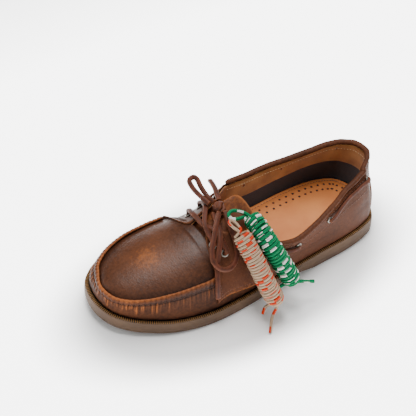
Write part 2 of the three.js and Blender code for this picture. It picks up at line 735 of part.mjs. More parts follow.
// Heights of a lace's middle above the quarter: over an eyelet, and lying on the leather
const LACE_SLACK = 0.8; // more room over a rim, because the leather curves away
const ON_LEATHER = PROUD + 2 * FIT_GAP + LACE / 2;
const OVER_EYELET = ON_LEATHER + EYELET_RIM + 2 * FIT_GAP + LACE_SLACK;

function abovePoint(place, proud) {
  return sidePoint(place.around, place.height, proud);
}

// The two strands that cross over the tongue, from each front eyelet to the rear one opposite
const CROSSING = [[0.6313, 0.0775, 1.0194]];

function crossing(front, rear, lift) {
  const over = (eyelet) => abovePoint({ around: eyelet.around, height: 1 }, ON_LEATHER + FIT_GAP);
  const [middle] = routeOf(CROSSING, LACE);
  middle.z += lift;
  const points = [
    abovePoint(front, OVER_EYELET), over(front), middle, over(rear), abovePoint(rear, OVER_EYELET),
  ];
  return toSolid(laceTube(points, LACE, 12));
}

const [OUTER_FRONT, OUTER_REAR, INNER_FRONT, INNER_REAR] = THROAT_EYELETS;
addPiece('lace_bars', fromSolid(
  crossing(INNER_FRONT, OUTER_REAR, -LACE / 4).add(crossing(OUTER_FRONT, INNER_REAR, LACE / 4)),
), 'lace');

// Side lacing outside the quarters: from the throat to the first eyelet, and between the second and third
const RUN_BOW = 0.05; // how far its middle lies above the line between the eyelets

function sideRun(from, to, startLift) {
  const places = [0, 0.12, 0.5, 0.88, 1].map((share) => ({
    around: THREE.MathUtils.lerp(from.around, to.around, share),
    height: THREE.MathUtils.lerp(from.height, to.height, share) + RUN_BOW * Math.sin(Math.PI * share),
  }));
  const lifts = [startLift, startLift, ON_LEATHER + LACE_SLACK / 2, OVER_EYELET, OVER_EYELET];
  return laceTube(places.map((place, i) => abovePoint(place, lifts[i])), LACE, 8);
}

const THROAT_EXIT = 0.014; // how far behind the rear eyelet the side lacing starts
const EXIT_DROP = 0.03;
const sideEyelet = (name) => SIDE_EYELETS.find((row) => row.name === name);
const outerExit = { around: OUTER_REAR.around - THROAT_EXIT, height: OUTER_REAR.height - EXIT_DROP };
const innerExit = { around: INNER_REAR.around + THROAT_EXIT, height: INNER_REAR.height - EXIT_DROP };
addPiece('lace_run_outer_front', sideRun(outerExit, sideEyelet('side_eyelet_outer_1'), ON_LEATHER), 'lace');
addPiece('lace_run_inner_front', sideRun(innerExit, sideEyelet('side_eyelet_inner_1'), ON_LEATHER), 'lace');
addPiece('lace_run_outer_rear', sideRun(
  sideEyelet('side_eyelet_outer_2'), sideEyelet('side_eyelet_outer_3'), OVER_EYELET,
), 'lace');
addPiece('lace_run_inner_rear', sideRun(
  sideEyelet('side_eyelet_inner_2'), sideEyelet('side_eyelet_inner_3'), OVER_EYELET,
), 'lace');

// The bow: knot, one loop to each side and the end that hangs down in front of the outer quarter
const KNOT_CENTRE = [[0.5622, 0.0108, 1.0757]];
const KNOT_RADII = [0.0208 * LENGTH, 0.0613 * BALL_WIDTH, 0.084 * INSTEP_RISE];

const KNOT_SIDES = 12;
const KNOT_RINGS = 8;

function knot() {
  const geometry = new THREE.SphereGeometry(1, KNOT_SIDES, KNOT_RINGS);
  geometry.scale(...KNOT_RADII);
  geometry.translate(...routeOf(KNOT_CENTRE, LACE)[0].toArray());
  geometry.deleteAttribute('normal');
  geometry.deleteAttribute('uv');
  return closedGeometry([...geometry.attributes.position.array], [...geometry.index.array]);
}

addPiece('lace_knot', knot(), 'lace');

const OUTER_LOOP = [
  [0.5785, 0.0649, 1.1091], [0.5955, 0.1225, 1.1677], [0.6163, 0.1838, 1.1677], [0.6375, 0.2486, 1.0903],
  [0.6642, 0.3279, 0.9871], [0.6736, 0.4, 0.8837], [0.6562, 0.4541, 0.7871], [0.6215, 0.4523, 0.7323],
  [0.591, 0.4018, 0.7838], [0.5757, 0.3081, 0.9444], [0.5715, 0.1937, 1.0667], [0.5611, 0.0865, 1.1466],
];
const INNER_LOOP = [
  [0.5681, -0.0541, 1.1052], [0.5764, -0.1171, 1.1461], [0.5729, -0.2252, 1.1378],
  [0.5611, -0.3468, 1.0949], [0.5639, -0.3874, 1.0629], [0.5799, -0.3739, 1.064],
  [0.5931, -0.2703, 1.1064], [0.5955, -0.1532, 1.1484], [0.5854, -0.0523, 1.1191],
];
const LACE_END = [
  [0.5885, 0.0306, 1.0579], [0.6, 0.1081, 1.0839], [0.609, 0.1892, 1.0968], [0.6201, 0.2649, 1.0516],
  [0.6319, 0.3135, 0.9774], [0.6438, 0.3495, 0.9], [0.6542, 0.382, 0.8065], [0.6667, 0.4342, 0.7032],
  [0.675, 0.4829, 0.5901], [0.6812, 0.5171, 0.4608], [0.6812, 0.5279, 0.3576],
];
const LACE_TIP = [
  [0.5507, -0.0486, 1.1197], [0.5444, -0.1081, 1.119], [0.5333, -0.1802, 1.0949],
  [0.5257, -0.2523, 1.0583], [0.5215, -0.3027, 1.0287],
];
addPiece('lace_loop_outer', laceTube(routeOf(OUTER_LOOP, LACE), LACE, 22), 'lace');
addPiece('lace_loop_inner', laceTube(routeOf(INNER_LOOP, LACE), LACE, 18), 'lace');
addPiece('lace_end', laceTube(routeOf(LACE_END, LACE), LACE, 18), 'lace');
addPiece('lace_tip', laceTube(routeOf(LACE_TIP, LACE), LACE, 6), 'lace');

// Spare laces: each is wound into a hank that hangs over the outer side, with its knot beside the bow
const HANK_SIDES = 10;
const HANK_STEPS = 10;
const HANK_END = 0.55; // radius at its ends, share of HANK_RADIUS
const HANK_SWELL = 2.2; // how soon it reaches its full radius
const BEIGE_FULLNESS = 0.97;

function hank(rows, fullness) {
  const path = new THREE.CatmullRomCurve3(routeOf(rows, CORD), false, 'centripetal');
  const frames = path.computeFrenetFrames(HANK_STEPS, false);
  const sections = [];
  for (let i = 0; i <= HANK_STEPS; i += 1) {
    const share = i / HANK_STEPS;
    const swell = HANK_END + HANK_SWELL * Math.sqrt(share * (1 - share));
    const radius = HANK_RADIUS * fullness * Math.min(1, swell);
    const centre = path.getPointAt(share);
    sections.push(Array.from({ length: HANK_SIDES }, (_, j) => {
      const angle = (2 * Math.PI * j) / HANK_SIDES;
      return centre.clone()
        .addScaledVector(frames.normals[i], radius * Math.cos(angle))
        .addScaledVector(frames.binormals[i], radius * Math.sin(angle));
    }));
  }
  return solidFromSections(sections, false);
}

const GREEN_HANK = [
  [0.5087, 0.2405, 1.162], [0.5049, 0.3694, 1.1129], [0.4951, 0.4703, 0.9724], [0.4764, 0.555, 0.7364],
  [0.4549, 0.6108, 0.4801], [0.4368, 0.6405, 0.2599],
];
const GREEN_TOP = [
  [0.5146, 0.2252, 1.184], [0.5333, 0.1757, 1.2224], [0.5531, 0.1523, 1.2329], [0.5688, 0.1667, 1.2262],
  [0.5667, 0.2036, 1.1938], [0.5462, 0.2189, 1.1676], [0.5222, 0.2234, 1.153],
];
const GREEN_FRONT_END = [
  [0.4424, 0.6378, 0.2225], [0.4563, 0.5991, 0.1756], [0.4809, 0.573, 0.0599],
];
const GREEN_REAR_END = [
  [0.4306, 0.6486, 0.2359], [0.4045, 0.6613, 0.2074], [0.3691, 0.6955, 0.1643],
];
const BEIGE_HANK = [
  [0.5681, 0.3387, 1.1439], [0.5618, 0.427, 1.0047], [0.5507, 0.5333, 0.7939], [0.5375, 0.6216, 0.531],
  [0.5215, 0.6847, 0.2996], [0.5083, 0.6991, 0.1361],
];
const BEIGE_TOP = [
  [0.5726, 0.3279, 1.1684], [0.5813, 0.2829, 1.1963], [0.584, 0.2396, 1.2126],
  [0.5757, 0.2234, 1.2218], [0.5681, 0.2577, 1.2149], [0.5646, 0.2973, 1.1952],
  [0.5632, 0.3297, 1.1693],
];
const BEIGE_SHORT_END = [
  [0.5132, 0.6919, 0.1031], [0.5226, 0.6712, 0.0514], [0.5354, 0.6559, 0.0049],
  [0.5503, 0.6766, -0.0739],
];
const BEIGE_LONG_END = [
  [0.5056, 0.7054, 0.1082], [0.5122, 0.7207, 0.0255], [0.5229, 0.7279, -0.0453],
  [0.5365, 0.7577, -0.1079], [0.558, 0.8288, -0.1924],
];

addPiece('green_hank', hank(GREEN_HANK, 1), 'green');
addPiece('green_top_loop', laceTube(routeOf(GREEN_TOP, CORD), CORD, 10), 'green');
addPiece('green_front_end', laceTube(routeOf(GREEN_FRONT_END, CORD), CORD, 5), 'green');
addPiece('green_rear_end', laceTube(routeOf(GREEN_REAR_END, CORD), CORD, 5), 'green');
addPiece('beige_hank', hank(BEIGE_HANK, BEIGE_FULLNESS), 'beige');
addPiece('beige_top_loop', laceTube(routeOf(BEIGE_TOP, CORD), CORD, 10), 'beige');
addPiece('beige_short_end', laceTube(routeOf(BEIGE_SHORT_END, CORD), CORD, 5), 'beige');
addPiece('beige_long_end', laceTube(routeOf(BEIGE_LONG_END, CORD), CORD, 8), 'beige');

// The outsole's middle is the origin
const box = new THREE.Box3().setFromObject(shoe.getObjectByName('outsole'));
shoe.position.set(-(box.min.x + box.max.x) / 2, -(box.min.y + box.max.y) / 2, 0);
model.updateMatrixWorld(true);

export default model;
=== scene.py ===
import math

import bpy
import numpy as np
from mathutils import Matrix, Vector


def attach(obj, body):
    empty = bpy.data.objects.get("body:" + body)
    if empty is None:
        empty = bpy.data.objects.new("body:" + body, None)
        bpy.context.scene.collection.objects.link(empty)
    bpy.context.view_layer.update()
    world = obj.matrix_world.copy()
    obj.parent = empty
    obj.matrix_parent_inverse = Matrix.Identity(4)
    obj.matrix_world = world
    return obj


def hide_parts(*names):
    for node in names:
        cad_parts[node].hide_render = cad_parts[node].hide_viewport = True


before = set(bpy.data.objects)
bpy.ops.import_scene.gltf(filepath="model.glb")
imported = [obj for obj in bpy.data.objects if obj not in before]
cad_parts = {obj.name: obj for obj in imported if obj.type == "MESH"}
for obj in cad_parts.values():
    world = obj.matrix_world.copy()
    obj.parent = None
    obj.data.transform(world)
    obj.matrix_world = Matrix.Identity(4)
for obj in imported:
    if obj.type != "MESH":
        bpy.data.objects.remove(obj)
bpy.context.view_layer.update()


# Camera: high over the outer side and in front of the toe, with a long lens, as in a catalogue picture.
# It is rolled a few degrees, and aims beside the shoe's inner side.
CAMERA_AZIMUTH = math.radians(145.34)
CAMERA_ELEVATION = math.radians(47.51)
CAMERA_ROLL = math.radians(3.99)
CAMERA_DISTANCE = 2.16861
CAMERA_TARGET = Vector((0.0006, -0.04335, 0.030))
CAMERA_LENS = 205.23

back = Vector((
    math.sin(CAMERA_AZIMUTH) * math.cos(CAMERA_ELEVATION),
    -math.cos(CAMERA_AZIMUTH) * math.cos(CAMERA_ELEVATION),
    math.sin(CAMERA_ELEVATION),
))
level_right = (-back).cross(Vector((0, 0, 1))).normalized()
level_up = back.cross(level_right)
camera_right = level_right * math.cos(CAMERA_ROLL) + level_up * math.sin(CAMERA_ROLL)
camera_up = level_up * math.cos(CAMERA_ROLL) - level_right * math.sin(CAMERA_ROLL)
camera_data = bpy.data.cameras.new("camera")
camera_data.lens = CAMERA_LENS
camera_data.sensor_width = 36.0
camera_data.clip_end = 20.0
camera = bpy.data.objects.new("camera", camera_data)
bpy.context.scene.collection.objects.link(camera)
camera_axes = Matrix((camera_right, camera_up, back)).transposed().to_4x4()
camera.matrix_world = Matrix.Translation(CAMERA_TARGET + back * CAMERA_DISTANCE) @ camera_axes
bpy.context.scene.camera = camera


# Studio: a seamless pale floor that glows, except near the shoe, where holding the glow back paints a soft
# shadow; a bright even surround and four soft boxes.
# The largest hangs behind the heel, so the toe and the outer side take a long soft highlight.
def linear(code):
    values = [int(code[i:i + 2], 16) / 255 for i in (0, 2, 4)]
    return (*[v / 12.92 if v <= 0.04045 else ((v + 0.055) / 1.055) ** 2.4 for v in values], 1.0)


def new_material(name):
    material = bpy.data.materials.new(name)
    material.use_nodes = True
    material.node_tree.nodes.clear()
    return material, material.node_tree


def add(tree, kind, inputs=(), **settings):
    """One node. An input takes a value, a socket, or a node, which then gives its first output."""
    made = tree.nodes.new(kind)
    for name, value in settings.items():
        setattr(made, name, value)
    for name, value in dict(inputs).items():
        if isinstance(value, bpy.types.Node):
            value = value.outputs[0]
        if isinstance(value, bpy.types.NodeSocket):
            tree.links.new(value, made.inputs[name])
        else:
            made.inputs[name].default_value = value
    return made


def coat(tree, inputs):
    """The surface shader with its settings, joined to the material's output."""
    shader = add(tree, "ShaderNodeBsdfPrincipled", inputs)
    add(tree, "ShaderNodeOutputMaterial", {"Surface": shader})


def mesh_piece(name, vertices, faces, material, smooth=True):
    mesh = bpy.data.meshes.new(name)
    mesh.from_pydata([tuple(map(float, v)) for v in vertices], [], [tuple(map(int, f)) for f in faces])
    mesh.materials.append(material)
    mesh.polygons.foreach_set("use_smooth", [smooth] * len(mesh.polygons))
    mesh.update()
    piece = bpy.data.objects.new(name, mesh)
    bpy.context.scene.collection.objects.link(piece)
    return piece


FLOOR_SIZE = 6.0
PAPER_GLOW = (0.0, 4.5)  # beside the shoe and farther out: none beside it, which paints a soft shadow round the shoe, and full where the sweep glows on its own
PAINTED_SHADOW_EDGE = (0.135, 0.21)  # metres from the shoe's middle, over which the painted shadow gives way to the glow
GLOW_FADES = (0.6, 1.1)
paper, tree = new_material("matt white paper sweep, glowing, with a painted shadow")
place = add(tree, "ShaderNodeTexCoord").outputs["Object"]
spread = add(tree, "ShaderNodeMapping", {
    "Vector": place, "Location": (-0.01, -0.03, 0.0), "Scale": (1.0, 1.9, 0.0),
})
reach = add(tree, "ShaderNodeVectorMath", {0: spread}, operation="LENGTH").outputs["Value"]
# The sweep glows, but not near the shoe: a painted soft shadow round it.
glow_past_painted_shadow = add(tree, "ShaderNodeMapRange", {
    "Value": reach, "From Min": PAINTED_SHADOW_EDGE[0], "From Max": PAINTED_SHADOW_EDGE[1],
    "To Min": PAPER_GLOW[0], "To Max": PAPER_GLOW[1],
}, interpolation_type="SMOOTHSTEP")
fade = add(tree, "ShaderNodeMapRange", {
    "Value": reach, "From Min": GLOW_FADES[0], "From Max": GLOW_FADES[1], "To Min": 1.0, "To Max": 0.0,
})
lit = add(tree, "ShaderNodeMath", {0: glow_past_painted_shadow, 1: fade}, operation="MULTIPLY")
coat(tree, {
    "Base Color": linear("F8F8F7"), "Roughness": 0.9,
    "Emission Color": linear("FFFFFF"), "Emission Strength": lit,
})
half = FLOOR_SIZE / 2
corners = [(-half, -half, 0), (half, -half, 0), (half, half, 0), (-half, half, 0)]
floor = mesh_piece("floor", corners, [(0, 1, 2, 3)], paper)

WORLD_STRENGTH = 0.34
world = bpy.data.worlds.new("studio")
world.use_nodes = True
world.node_tree.nodes["Background"].inputs["Color"].default_value = linear("FFFFFF")
world.node_tree.nodes["Background"].inputs["Strength"].default_value = WORLD_STRENGTH
bpy.context.scene.world = world

SOFT_BOXES = [
    # name, place and size in metres, watts
    ("overhead box", (-0.35, -0.45, 1.25), 0.9, 24.0),
    ("plug box", (0.12, -0.02, 1.25), 0.3, 8.5),
    ("toe box", (1.1, -0.5, 0.8), 0.6, 3.0),
    ("side box", (0.2, 1.4, 0.7), 0.8, 6.0),
]
LIGHT_AIM = Vector((0, 0, 0.03))
for name, spot, size, power in SOFT_BOXES:
    light_data = bpy.data.lights.new(name, "AREA")
    light_data.size = size
    light_data.energy = power
    light = bpy.data.objects.new(name, light_data)
    bpy.context.scene.collection.objects.link(light)
    turned = (LIGHT_AIM - Vector(spot)).to_track_quat("-Z", "Y").to_matrix().to_4x4()
    light.matrix_world = Matrix.Translation(spot) @ turned


# Rawhide lacing: one square-cut lace of waxed leather. It crosses the throat, runs through the
# side eyelets round the heel, and is tied in front of the tongue in a bow with two hanging ends.
# It lies on the leather, so the shape of the shoe is worked out here: millimetres from the heel,
# +y to the outer side, and "around" is the share of the way round the foot line from the heel.
LENGTH = 288.0
BALL_WIDTH = 111.0
INSTEP_RISE = 62.0
LEDGE = 4.6
FIT_GAP = 0.3
WALL = 1.9
OVERLAY = 1.3
PROUD = FIT_GAP + OVERLAY
HEEL_THICKNESS = 16.7
FOREPART_THICKNESS = 13.4
THINS_OVER = (0.25, 0.6)  # shares of the length
TOE_SPRING = 7.7
SPRING_START = 0.66
LAST_CENTRE = np.array([143.98211669921875, 1.616556167602539, 0.0])
OUTLINE = [
    # share of length, outer and inner shares of the ball's width
    (0.03, 0.256, 0.21), (0.08, 0.339, 0.307), (0.16, 0.386, 0.357), (0.26, 0.41, 0.36),
    (0.36, 0.437, 0.344), (0.46, 0.468, 0.347), (0.56, 0.5, 0.39), (0.66, 0.517, 0.453),
    (0.74, 0.501, 0.485), (0.82, 0.452, 0.481), (0.89, 0.368, 0.432), (0.945, 0.271, 0.348),
    (0.985, 0.142, 0.228),
]
TOE_TIP = -0.042
EDGE = [
    # around, then inset and bulge in shares of the ball's width, with rise in shares of the instep between
    (0.0, -0.014, 0.863, 0.011), (0.0162, 0.013, 0.876, 0.011), (0.0398, 0.072, 0.877, 0.013),
    (0.0926, 0.077, 0.782, 0.013), (0.124, 0.038, 0.69, 0.009), (0.1611, -0.014, 0.621, 0.005),
    (0.1944, -0.039, 0.6, 0.005), (0.22, -0.01, 0.639, 0.009), (0.237, 0.044, 0.703, 0.013),
    (0.2498, 0.118, 0.816, 0.018), (0.2662, 0.198, 0.91, 0.023), (0.2815, 0.261, 0.961, 0.027),
    (0.3029, 0.343, 0.929, 0.027), (0.3105, 0.299, 0.865, 0.027), (0.316, 0.205, 0.8, 0.027),
    (0.3195, 0.106, 0.697, 0.023), (0.3214, 0.039, 0.606, 0.018), (0.3339, 0.031, 0.573, 0.018),
    (0.351, 0.035, 0.54, 0.018), (0.3897, 0.03, 0.46, 0.018), (0.4229, 0.013, 0.382, 0.018),
    (0.4606, 0.005, 0.311, 0.018), (0.4953, 0.014, 0.289, 0.018), (0.529, 0.057, 0.311, 0.018),
    (0.558, 0.067, 0.345, 0.018), (0.5792, 0.076, 0.385, 0.018), (0.6165, 0.088, 0.458, 0.018),
    (0.6575, 0.097, 0.54, 0.018), (0.6834, 0.096, 0.598, 0.018), (0.6885, 0.2, 0.735, 0.023),
    (0.6946, 0.286, 0.816, 0.027), (0.7065, 0.36, 0.889, 0.027), (0.7203, 0.324, 0.953, 0.027),
    (0.7365, 0.261, 0.994, 0.027), (0.7485, 0.177, 0.956, 0.023), (0.7601, 0.083, 0.861, 0.018),
    (0.7757, -0.015, 0.732, 0.009), (0.7954, -0.038, 0.665, 0.005), (0.8208, -0.039, 0.637, 0.005),
    (0.8413, -0.023, 0.653, 0.005), (0.8777, 0.023, 0.711, 0.009), (0.9113, 0.047, 0.777, 0.013),
    (0.9371, 0.041, 0.824, 0.013), (0.962, 0.019, 0.847, 0.013), (0.98, -0.011, 0.86, 0.011),
]
SIDE_HANDLES = [
    # four handles of the curve up the side: shares of the bulge, the inset and the rise
    (0, 0, 0), (1, 0, 0.42), (0.7, -0.5, 0.74), (0, -1, 1),
]
TOE = 0.4953
OUTER_CORNER = 0.237
INNER_CORNER = 0.7757
OUTER_SEAM_END = 0.3214
INNER_SEAM_END = 0.6834


def row_metres(points):
    return (np.asarray(points, float) - LAST_CENTRE) * 0.001


def unit(vectors):
    return vectors / np.linalg.norm(vectors, axis=-1, keepdims=True)


def walk(points):
    """Distance along a line at each of its points."""
    return np.concatenate([[0.0], np.cumsum(np.linalg.norm(np.diff(points, axis=0), axis=1))])


def length_of(points):
    return float(walk(points)[-1])


def rows_between(places, known, rows):
    """Rows of values, read at the places from the rows at the known ones."""
    return np.stack([np.interp(places, known, rows[:, k]) for k in range(rows.shape[1])], -1)


def outline_curve(steps=80):
    corners = [(0.0, 0.0)] + [(a * LENGTH, o * BALL_WIDTH) for a, o, _ in OUTLINE]
    corners += [(LENGTH, TOE_TIP * BALL_WIDTH)]
    corners += [(a * LENGTH, -i * BALL_WIDTH) for a, _, i in OUTLINE[::-1]]
    b = np.array(corners)[:, None, :]
    a, c, d = np.roll(b, 1, axis=0), np.roll(b, -1, axis=0), np.roll(b, -2, axis=0)
    t = (np.arange(steps) / steps)[None, :, None]
    curve = 2 * b + (c - a) * t + (2 * a - 5 * b + 4 * c - d) * t**2 + (3 * b - a - 3 * c + d) * t**3
    return (0.5 * curve).reshape(-1, 2)


outline_points = outline_curve()
outline_loop = np.vstack([outline_points, outline_points[:1]])
outline_walk = walk(outline_loop)


def outline_at(around):
    return rows_between((np.asarray(around, float) % 1) * outline_walk[-1], outline_walk, outline_loop)


def outward_at(around):
    tangent = unit(outline_at(np.asarray(around) + 1e-3) - outline_at(np.asarray(around) - 1e-3))
    return np.stack([-tangent[..., 1], tangent[..., 0]], -1)


def smooth(value, low, high):
    share = np.clip((np.asarray(value, float) - low) / (high - low), 0, 1)
    return share * share * (3 - 2 * share)


def sole_bottom(x):
    return TOE_SPRING * (np.maximum(np.asarray(x) / LENGTH - SPRING_START, 0) / (1 - SPRING_START))**2


def sole_top(x):
    thinner = (FOREPART_THICKNESS - HEEL_THICKNESS) * smooth(np.asarray(x) / LENGTH, *THINS_OVER)
    return sole_bottom(x) + HEEL_THICKNESS + thinner


def track(rows, column):
    """One column of a table as a smooth function of the first, closed round the foot, without overshoot."""
    values = np.array([row[column] for row in rows])
    places = np.array([row[0] for row in rows])
    places = np.concatenate([places[-2:] - 1, places, places[:2] + 1])
    values = np.concatenate([values[-2:], values, values[:2]])
    steps = np.diff(places)
    rates = np.diff(values) / steps
    slopes = np.zeros(len(places))
    for i in range(1, len(places) - 1):
        if rates[i - 1] * rates[i] > 0:
            first = 2 * steps[i] + steps[i - 1]
            second = steps[i] + 2 * steps[i - 1]
            slopes[i] = (first + second) / (first / rates[i - 1] + second / rates[i])

    def read(around):
        place = np.asarray(around, float) % 1
        i = np.clip(np.searchsorted(places, place, side="right") - 1, 0, len(places) - 2)
        t = (place - places[i]) / steps[i]
        start = (1 - t)**2 * ((1 + 2 * t) * values[i] + t * steps[i] * slopes[i])
        return start + t**2 * ((3 - 2 * t) * values[i + 1] - (1 - t) * steps[i] * slopes[i + 1])

    return read


inset_at, rise_at, bulge_at = [track(EDGE, column) for column in (1, 2, 3)]


def side_point(around, height, proud=0.0, lift=0.0):
    """Point on the side of the upper: height 0 at the sole to 1 at its top edge, proud of the leather."""
    around, height = np.broadcast_arrays(np.asarray(around, float), np.asarray(height, float))
    inset = inset_at(around) * BALL_WIDTH
    rise = rise_at(around) * INSTEP_RISE
    bulge = bulge_at(around) * BALL_WIDTH
    handles = [(b * bulge + i * inset, r * rise) for b, i, r in SIDE_HANDLES]
    rest = 1 - height
    weights = [rest**3, 3 * rest**2 * height, 3 * rest * height**2, height**3]
    leans = [
        -3 * rest**2, 3 * rest**2 - 6 * rest * height, 6 * rest * height - 3 * height**2, 3 * height**2,
    ]
    out, up = [sum(w * handle[k] for w, handle in zip(weights, handles)) for k in (0, 1)]
    lean_out, lean_up = [sum(w * handle[k] for w, handle in zip(leans, handles)) for k in (0, 1)]
    size = np.sqrt(lean_out**2 + lean_up**2)
    out = out + proud * lean_up / size + lift * lean_out / size
    up = up - proud * lean_out / size + lift * lean_up / size
    outward = outward_at(around)
    foot = outline_at(around) - LEDGE * outward
    z = sole_top(foot[..., 0]) + FIT_GAP + up
    return np.stack([foot[..., 0] + outward[..., 0] * out, foot[..., 1] + outward[..., 1] * out, z], -1)


def curve_through(points, count, steps=40):
    """Smooth line through the points, in even steps."""
    points = np.asarray(points, float)
    ends = np.vstack([2 * points[0] - points[1], points, 2 * points[-1] - points[-2]])
    knots = np.concatenate([[0], np.cumsum(np.linalg.norm(np.diff(ends, axis=0), axis=1)**0.5)])
    dense = []
    for i in range(1, len(ends) - 2):
        t0, t1, t2, t3 = knots[i - 1:i + 3]
        t = np.linspace(t1, t2, steps, endpoint=False)[:, None]
        a1 = (t1 - t) / (t1 - t0) * ends[i - 1] + (t - t0) / (t1 - t0) * ends[i]
        a2 = (t2 - t) / (t2 - t1) * ends[i] + (t - t1) / (t2 - t1) * ends[i + 1]
        a3 = (t3 - t) / (t3 - t2) * ends[i + 1] + (t - t2) / (t3 - t2) * ends[i + 2]
        b1 = (t2 - t) / (t2 - t0) * a1 + (t - t0) / (t2 - t0) * a2
        b2 = (t3 - t) / (t3 - t1) * a2 + (t - t1) / (t3 - t1) * a3
        dense.append((t2 - t) / (t2 - t1) * b1 + (t - t1) / (t2 - t1) * b2)
    dense = np.vstack(dense + [points[-1:]])
    walked = walk(dense)
    return rows_between(np.linspace(0, walked[-1], count), walked, dense)


def grid_faces(rows, columns, closed_rows=False, closed_columns=False):
    faces = []
    for i in range(rows if closed_rows else rows - 1):
        for j in range(columns if closed_columns else columns - 1):
            a, b = i * columns + j, ((i + 1) % rows) * columns + j
            c, d = ((i + 1) % rows) * columns + (j + 1) % columns, i * columns + (j + 1) % columns
            faces.append((a, b, c, d))
    return faces


def tube_faces(rings, sides, closed=False):
    """Faces of a solid made of rings, closed into itself or with a cap at both ends."""
    faces = [quad[::-1] for quad in grid_faces(rings, sides, closed, True)]
    if not closed:
        faces.append(tuple(range(sides))[::-1])
        faces.append(tuple((rings - 1) * sides + j for j in range(sides)))
    return faces


SIDE_PULL = 0.12


def swept(name, line, section, material, wanted_side=(0, 0, 1)):
    """Solid of one section carried along a line in metres, with the distance along it as a UV map.
    The section's first direction turns gently towards the wanted side, which may differ at each point."""
    line = np.asarray(line, float)
    tangents = unit(np.gradient(line, axis=0))
    wanted = np.broadcast_to(np.asarray(wanted_side, float), line.shape)
    walked = walk(line)
    middle = len(line) // 2
    sides = np.zeros_like(line)
    for order in (range(middle, len(line)), range(middle, -1, -1)):
        side = wanted[middle]
        for i in order:
            side = side + SIDE_PULL * wanted[i] * np.sign(side.dot(wanted[i]) + 1e-9)
            side = unit(side - tangents[i] * side.dot(tangents[i]))
            sides[i] = side
    across = np.cross(tangents, sides)
    rings = [line[i] + section[:, :1] * sides[i] + section[:, 1:] * across[i] for i in range(len(line))]
    count = len(section)
    piece = mesh_piece(name, np.vstack(rings), tube_faces(len(line), count), material)
    layer = piece.data.uv_layers.new(name="route")
    for polygon in piece.data.polygons:
        at = {loop: divmod(piece.data.loops[loop].vertex_index, count) for loop in polygon.loop_indices}
        past_last = any(spoke == count - 1 for _, spoke in at.values())
        for loop, (ring, spoke) in at.items():
            if spoke == 0 and past_last:
                spoke = count
            layer.data[loop].uv = (walked[ring], spoke / count)
    return piece


def flat_section(width, thickness, softness=0.45, crown=1.03):
    """Rounded bar, as a flat lace is: thin along its first direction and wide along its second."""
    deep, wide = thickness / 2, width / 2
    cut = deep * softness
    return np.array([
        (deep, -wide + cut), (deep * crown, 0.0), (deep, wide - cut), (deep - cut, wide),
        (-deep + cut, wide), (-deep, wide - cut), (-deep * crown, 0.0), (-deep, -wide + cut),
        (-deep + cut, -wide), (deep - cut, -wide),
    ]) * 0.001


def mottled(tree, place, scale, detail, low, high, start=0.3, end=0.75):
    """Colour that drifts between two tones in soft patches."""
    cloud = add(tree, "ShaderNodeTexNoise", {"Vector": place, "Scale": scale, "Detail": detail})
    tone = add(tree, "ShaderNodeValToRGB", {"Fac": cloud.outputs["Fac"]})
    for element, position, code in zip(tone.color_ramp.elements, (start, end), (low, high)):
        element.position = position
        element.color = linear(code)
    return tone


def uneven(tree, place, scale, detail, strength, depth):
    """Fine relief of a surface, its depth in metres."""
    fine = add(tree, "ShaderNodeTexNoise", {"Vector": place, "Scale": scale, "Detail": detail})
    height = fine.outputs["Fac"]
    return add(tree, "ShaderNodeBump", {"Height": height, "Strength": strength, "Distance": depth})


# Waxed rawhide: dark reddish brown, paler at its corners, with a slight waxy gloss.
rawhide, tree = new_material("waxed rawhide lace")
place = add(tree, "ShaderNodeTexCoord").outputs["Object"]
corner_mask = add(tree, "ShaderNodeMapRange", {
    "Value": add(tree, "ShaderNodeNewGeometry").outputs["Pointiness"],
    "From Min": 0.53, "From Max": 0.64, "To Min": 0.0, "To Max": 0.7,
})
edged = add(tree, "ShaderNodeMix", {
    "Factor": corner_mask, "A": mottled(tree, place, 180.0, 4.0, "2C140C", "4E2416"), "B": linear("8C5234"),
}, data_type="RGBA")
coat(tree, {
    "Base Color": edged.outputs["Result"], "Roughness": 0.6, "IOR": 1.5, "Specular IOR Level": 0.18,
    "Normal": uneven(tree, place, 900.0, 3.0, 0.25, 0.0003),
})

LACE = 4.4
LACE_THICKNESS = 3.1
LACE_SECTION = flat_section(LACE, LACE_THICKNESS)
LACE_REST = 0.2  # a lace rests so far off the leather
EDGE_ARCH = 0.6  # it rises so far over an edge, and sinks so far into an eyelet
EYELET_RIM = 0.9
STRAND_POINTS = 60
ON_LEATHER = PROUD + LACE_REST + LACE_THICKNESS / 2
OVER_EYELET = PROUD + 4 * FIT_GAP + EYELET_RIM + LACE / 2 - EDGE_ARCH
THROAT_EYELETS = {
    "eyelet_outer_front": (0.3035, 0.85), "eyelet_outer_rear": (0.2925, 0.72),
    "eyelet_inner_front": (0.714, 0.76), "eyelet_inner_rear": (0.7295, 0.76),
}
SIDE_EYELETS = {
    "side_eyelet_outer_1": (0.194, 0.8), "side_eyelet_outer_2": (0.136, 0.8),
    "side_eyelet_outer_3": (0.05, 0.86), "side_eyelet_inner_1": (0.804, 0.8),
    "side_eyelet_inner_2": (0.864, 0.8), "side_eyelet_inner_3": (0.95, 0.86),
}


def through_eyelet(place, above):
    """Points of a lace that goes down through an eyelet: above it, in its bore, and inside the lining."""
    return [side_point(*place, proud) for proud in (above, PROUD, -WALL)]


def throat_strand(name, front, rear, crossing_rise):
    front, rear = THROAT_EYELETS[front], THROAT_EYELETS[rear]
    over_front, over_rear = [side_point(place[0], 1.0, ON_LEATHER + EDGE_ARCH) for place in (front, rear)]
    middle = CROSSING + np.array([0, 0, crossing_rise])
    points = through_eyelet(front, OVER_EYELET)[::-1] + [over_front, middle, over_rear]
    line = curve_through(points + through_eyelet(rear, OVER_EYELET), STRAND_POINTS)
    return swept(name, row_metres(line), LACE_SECTION, rawhide)


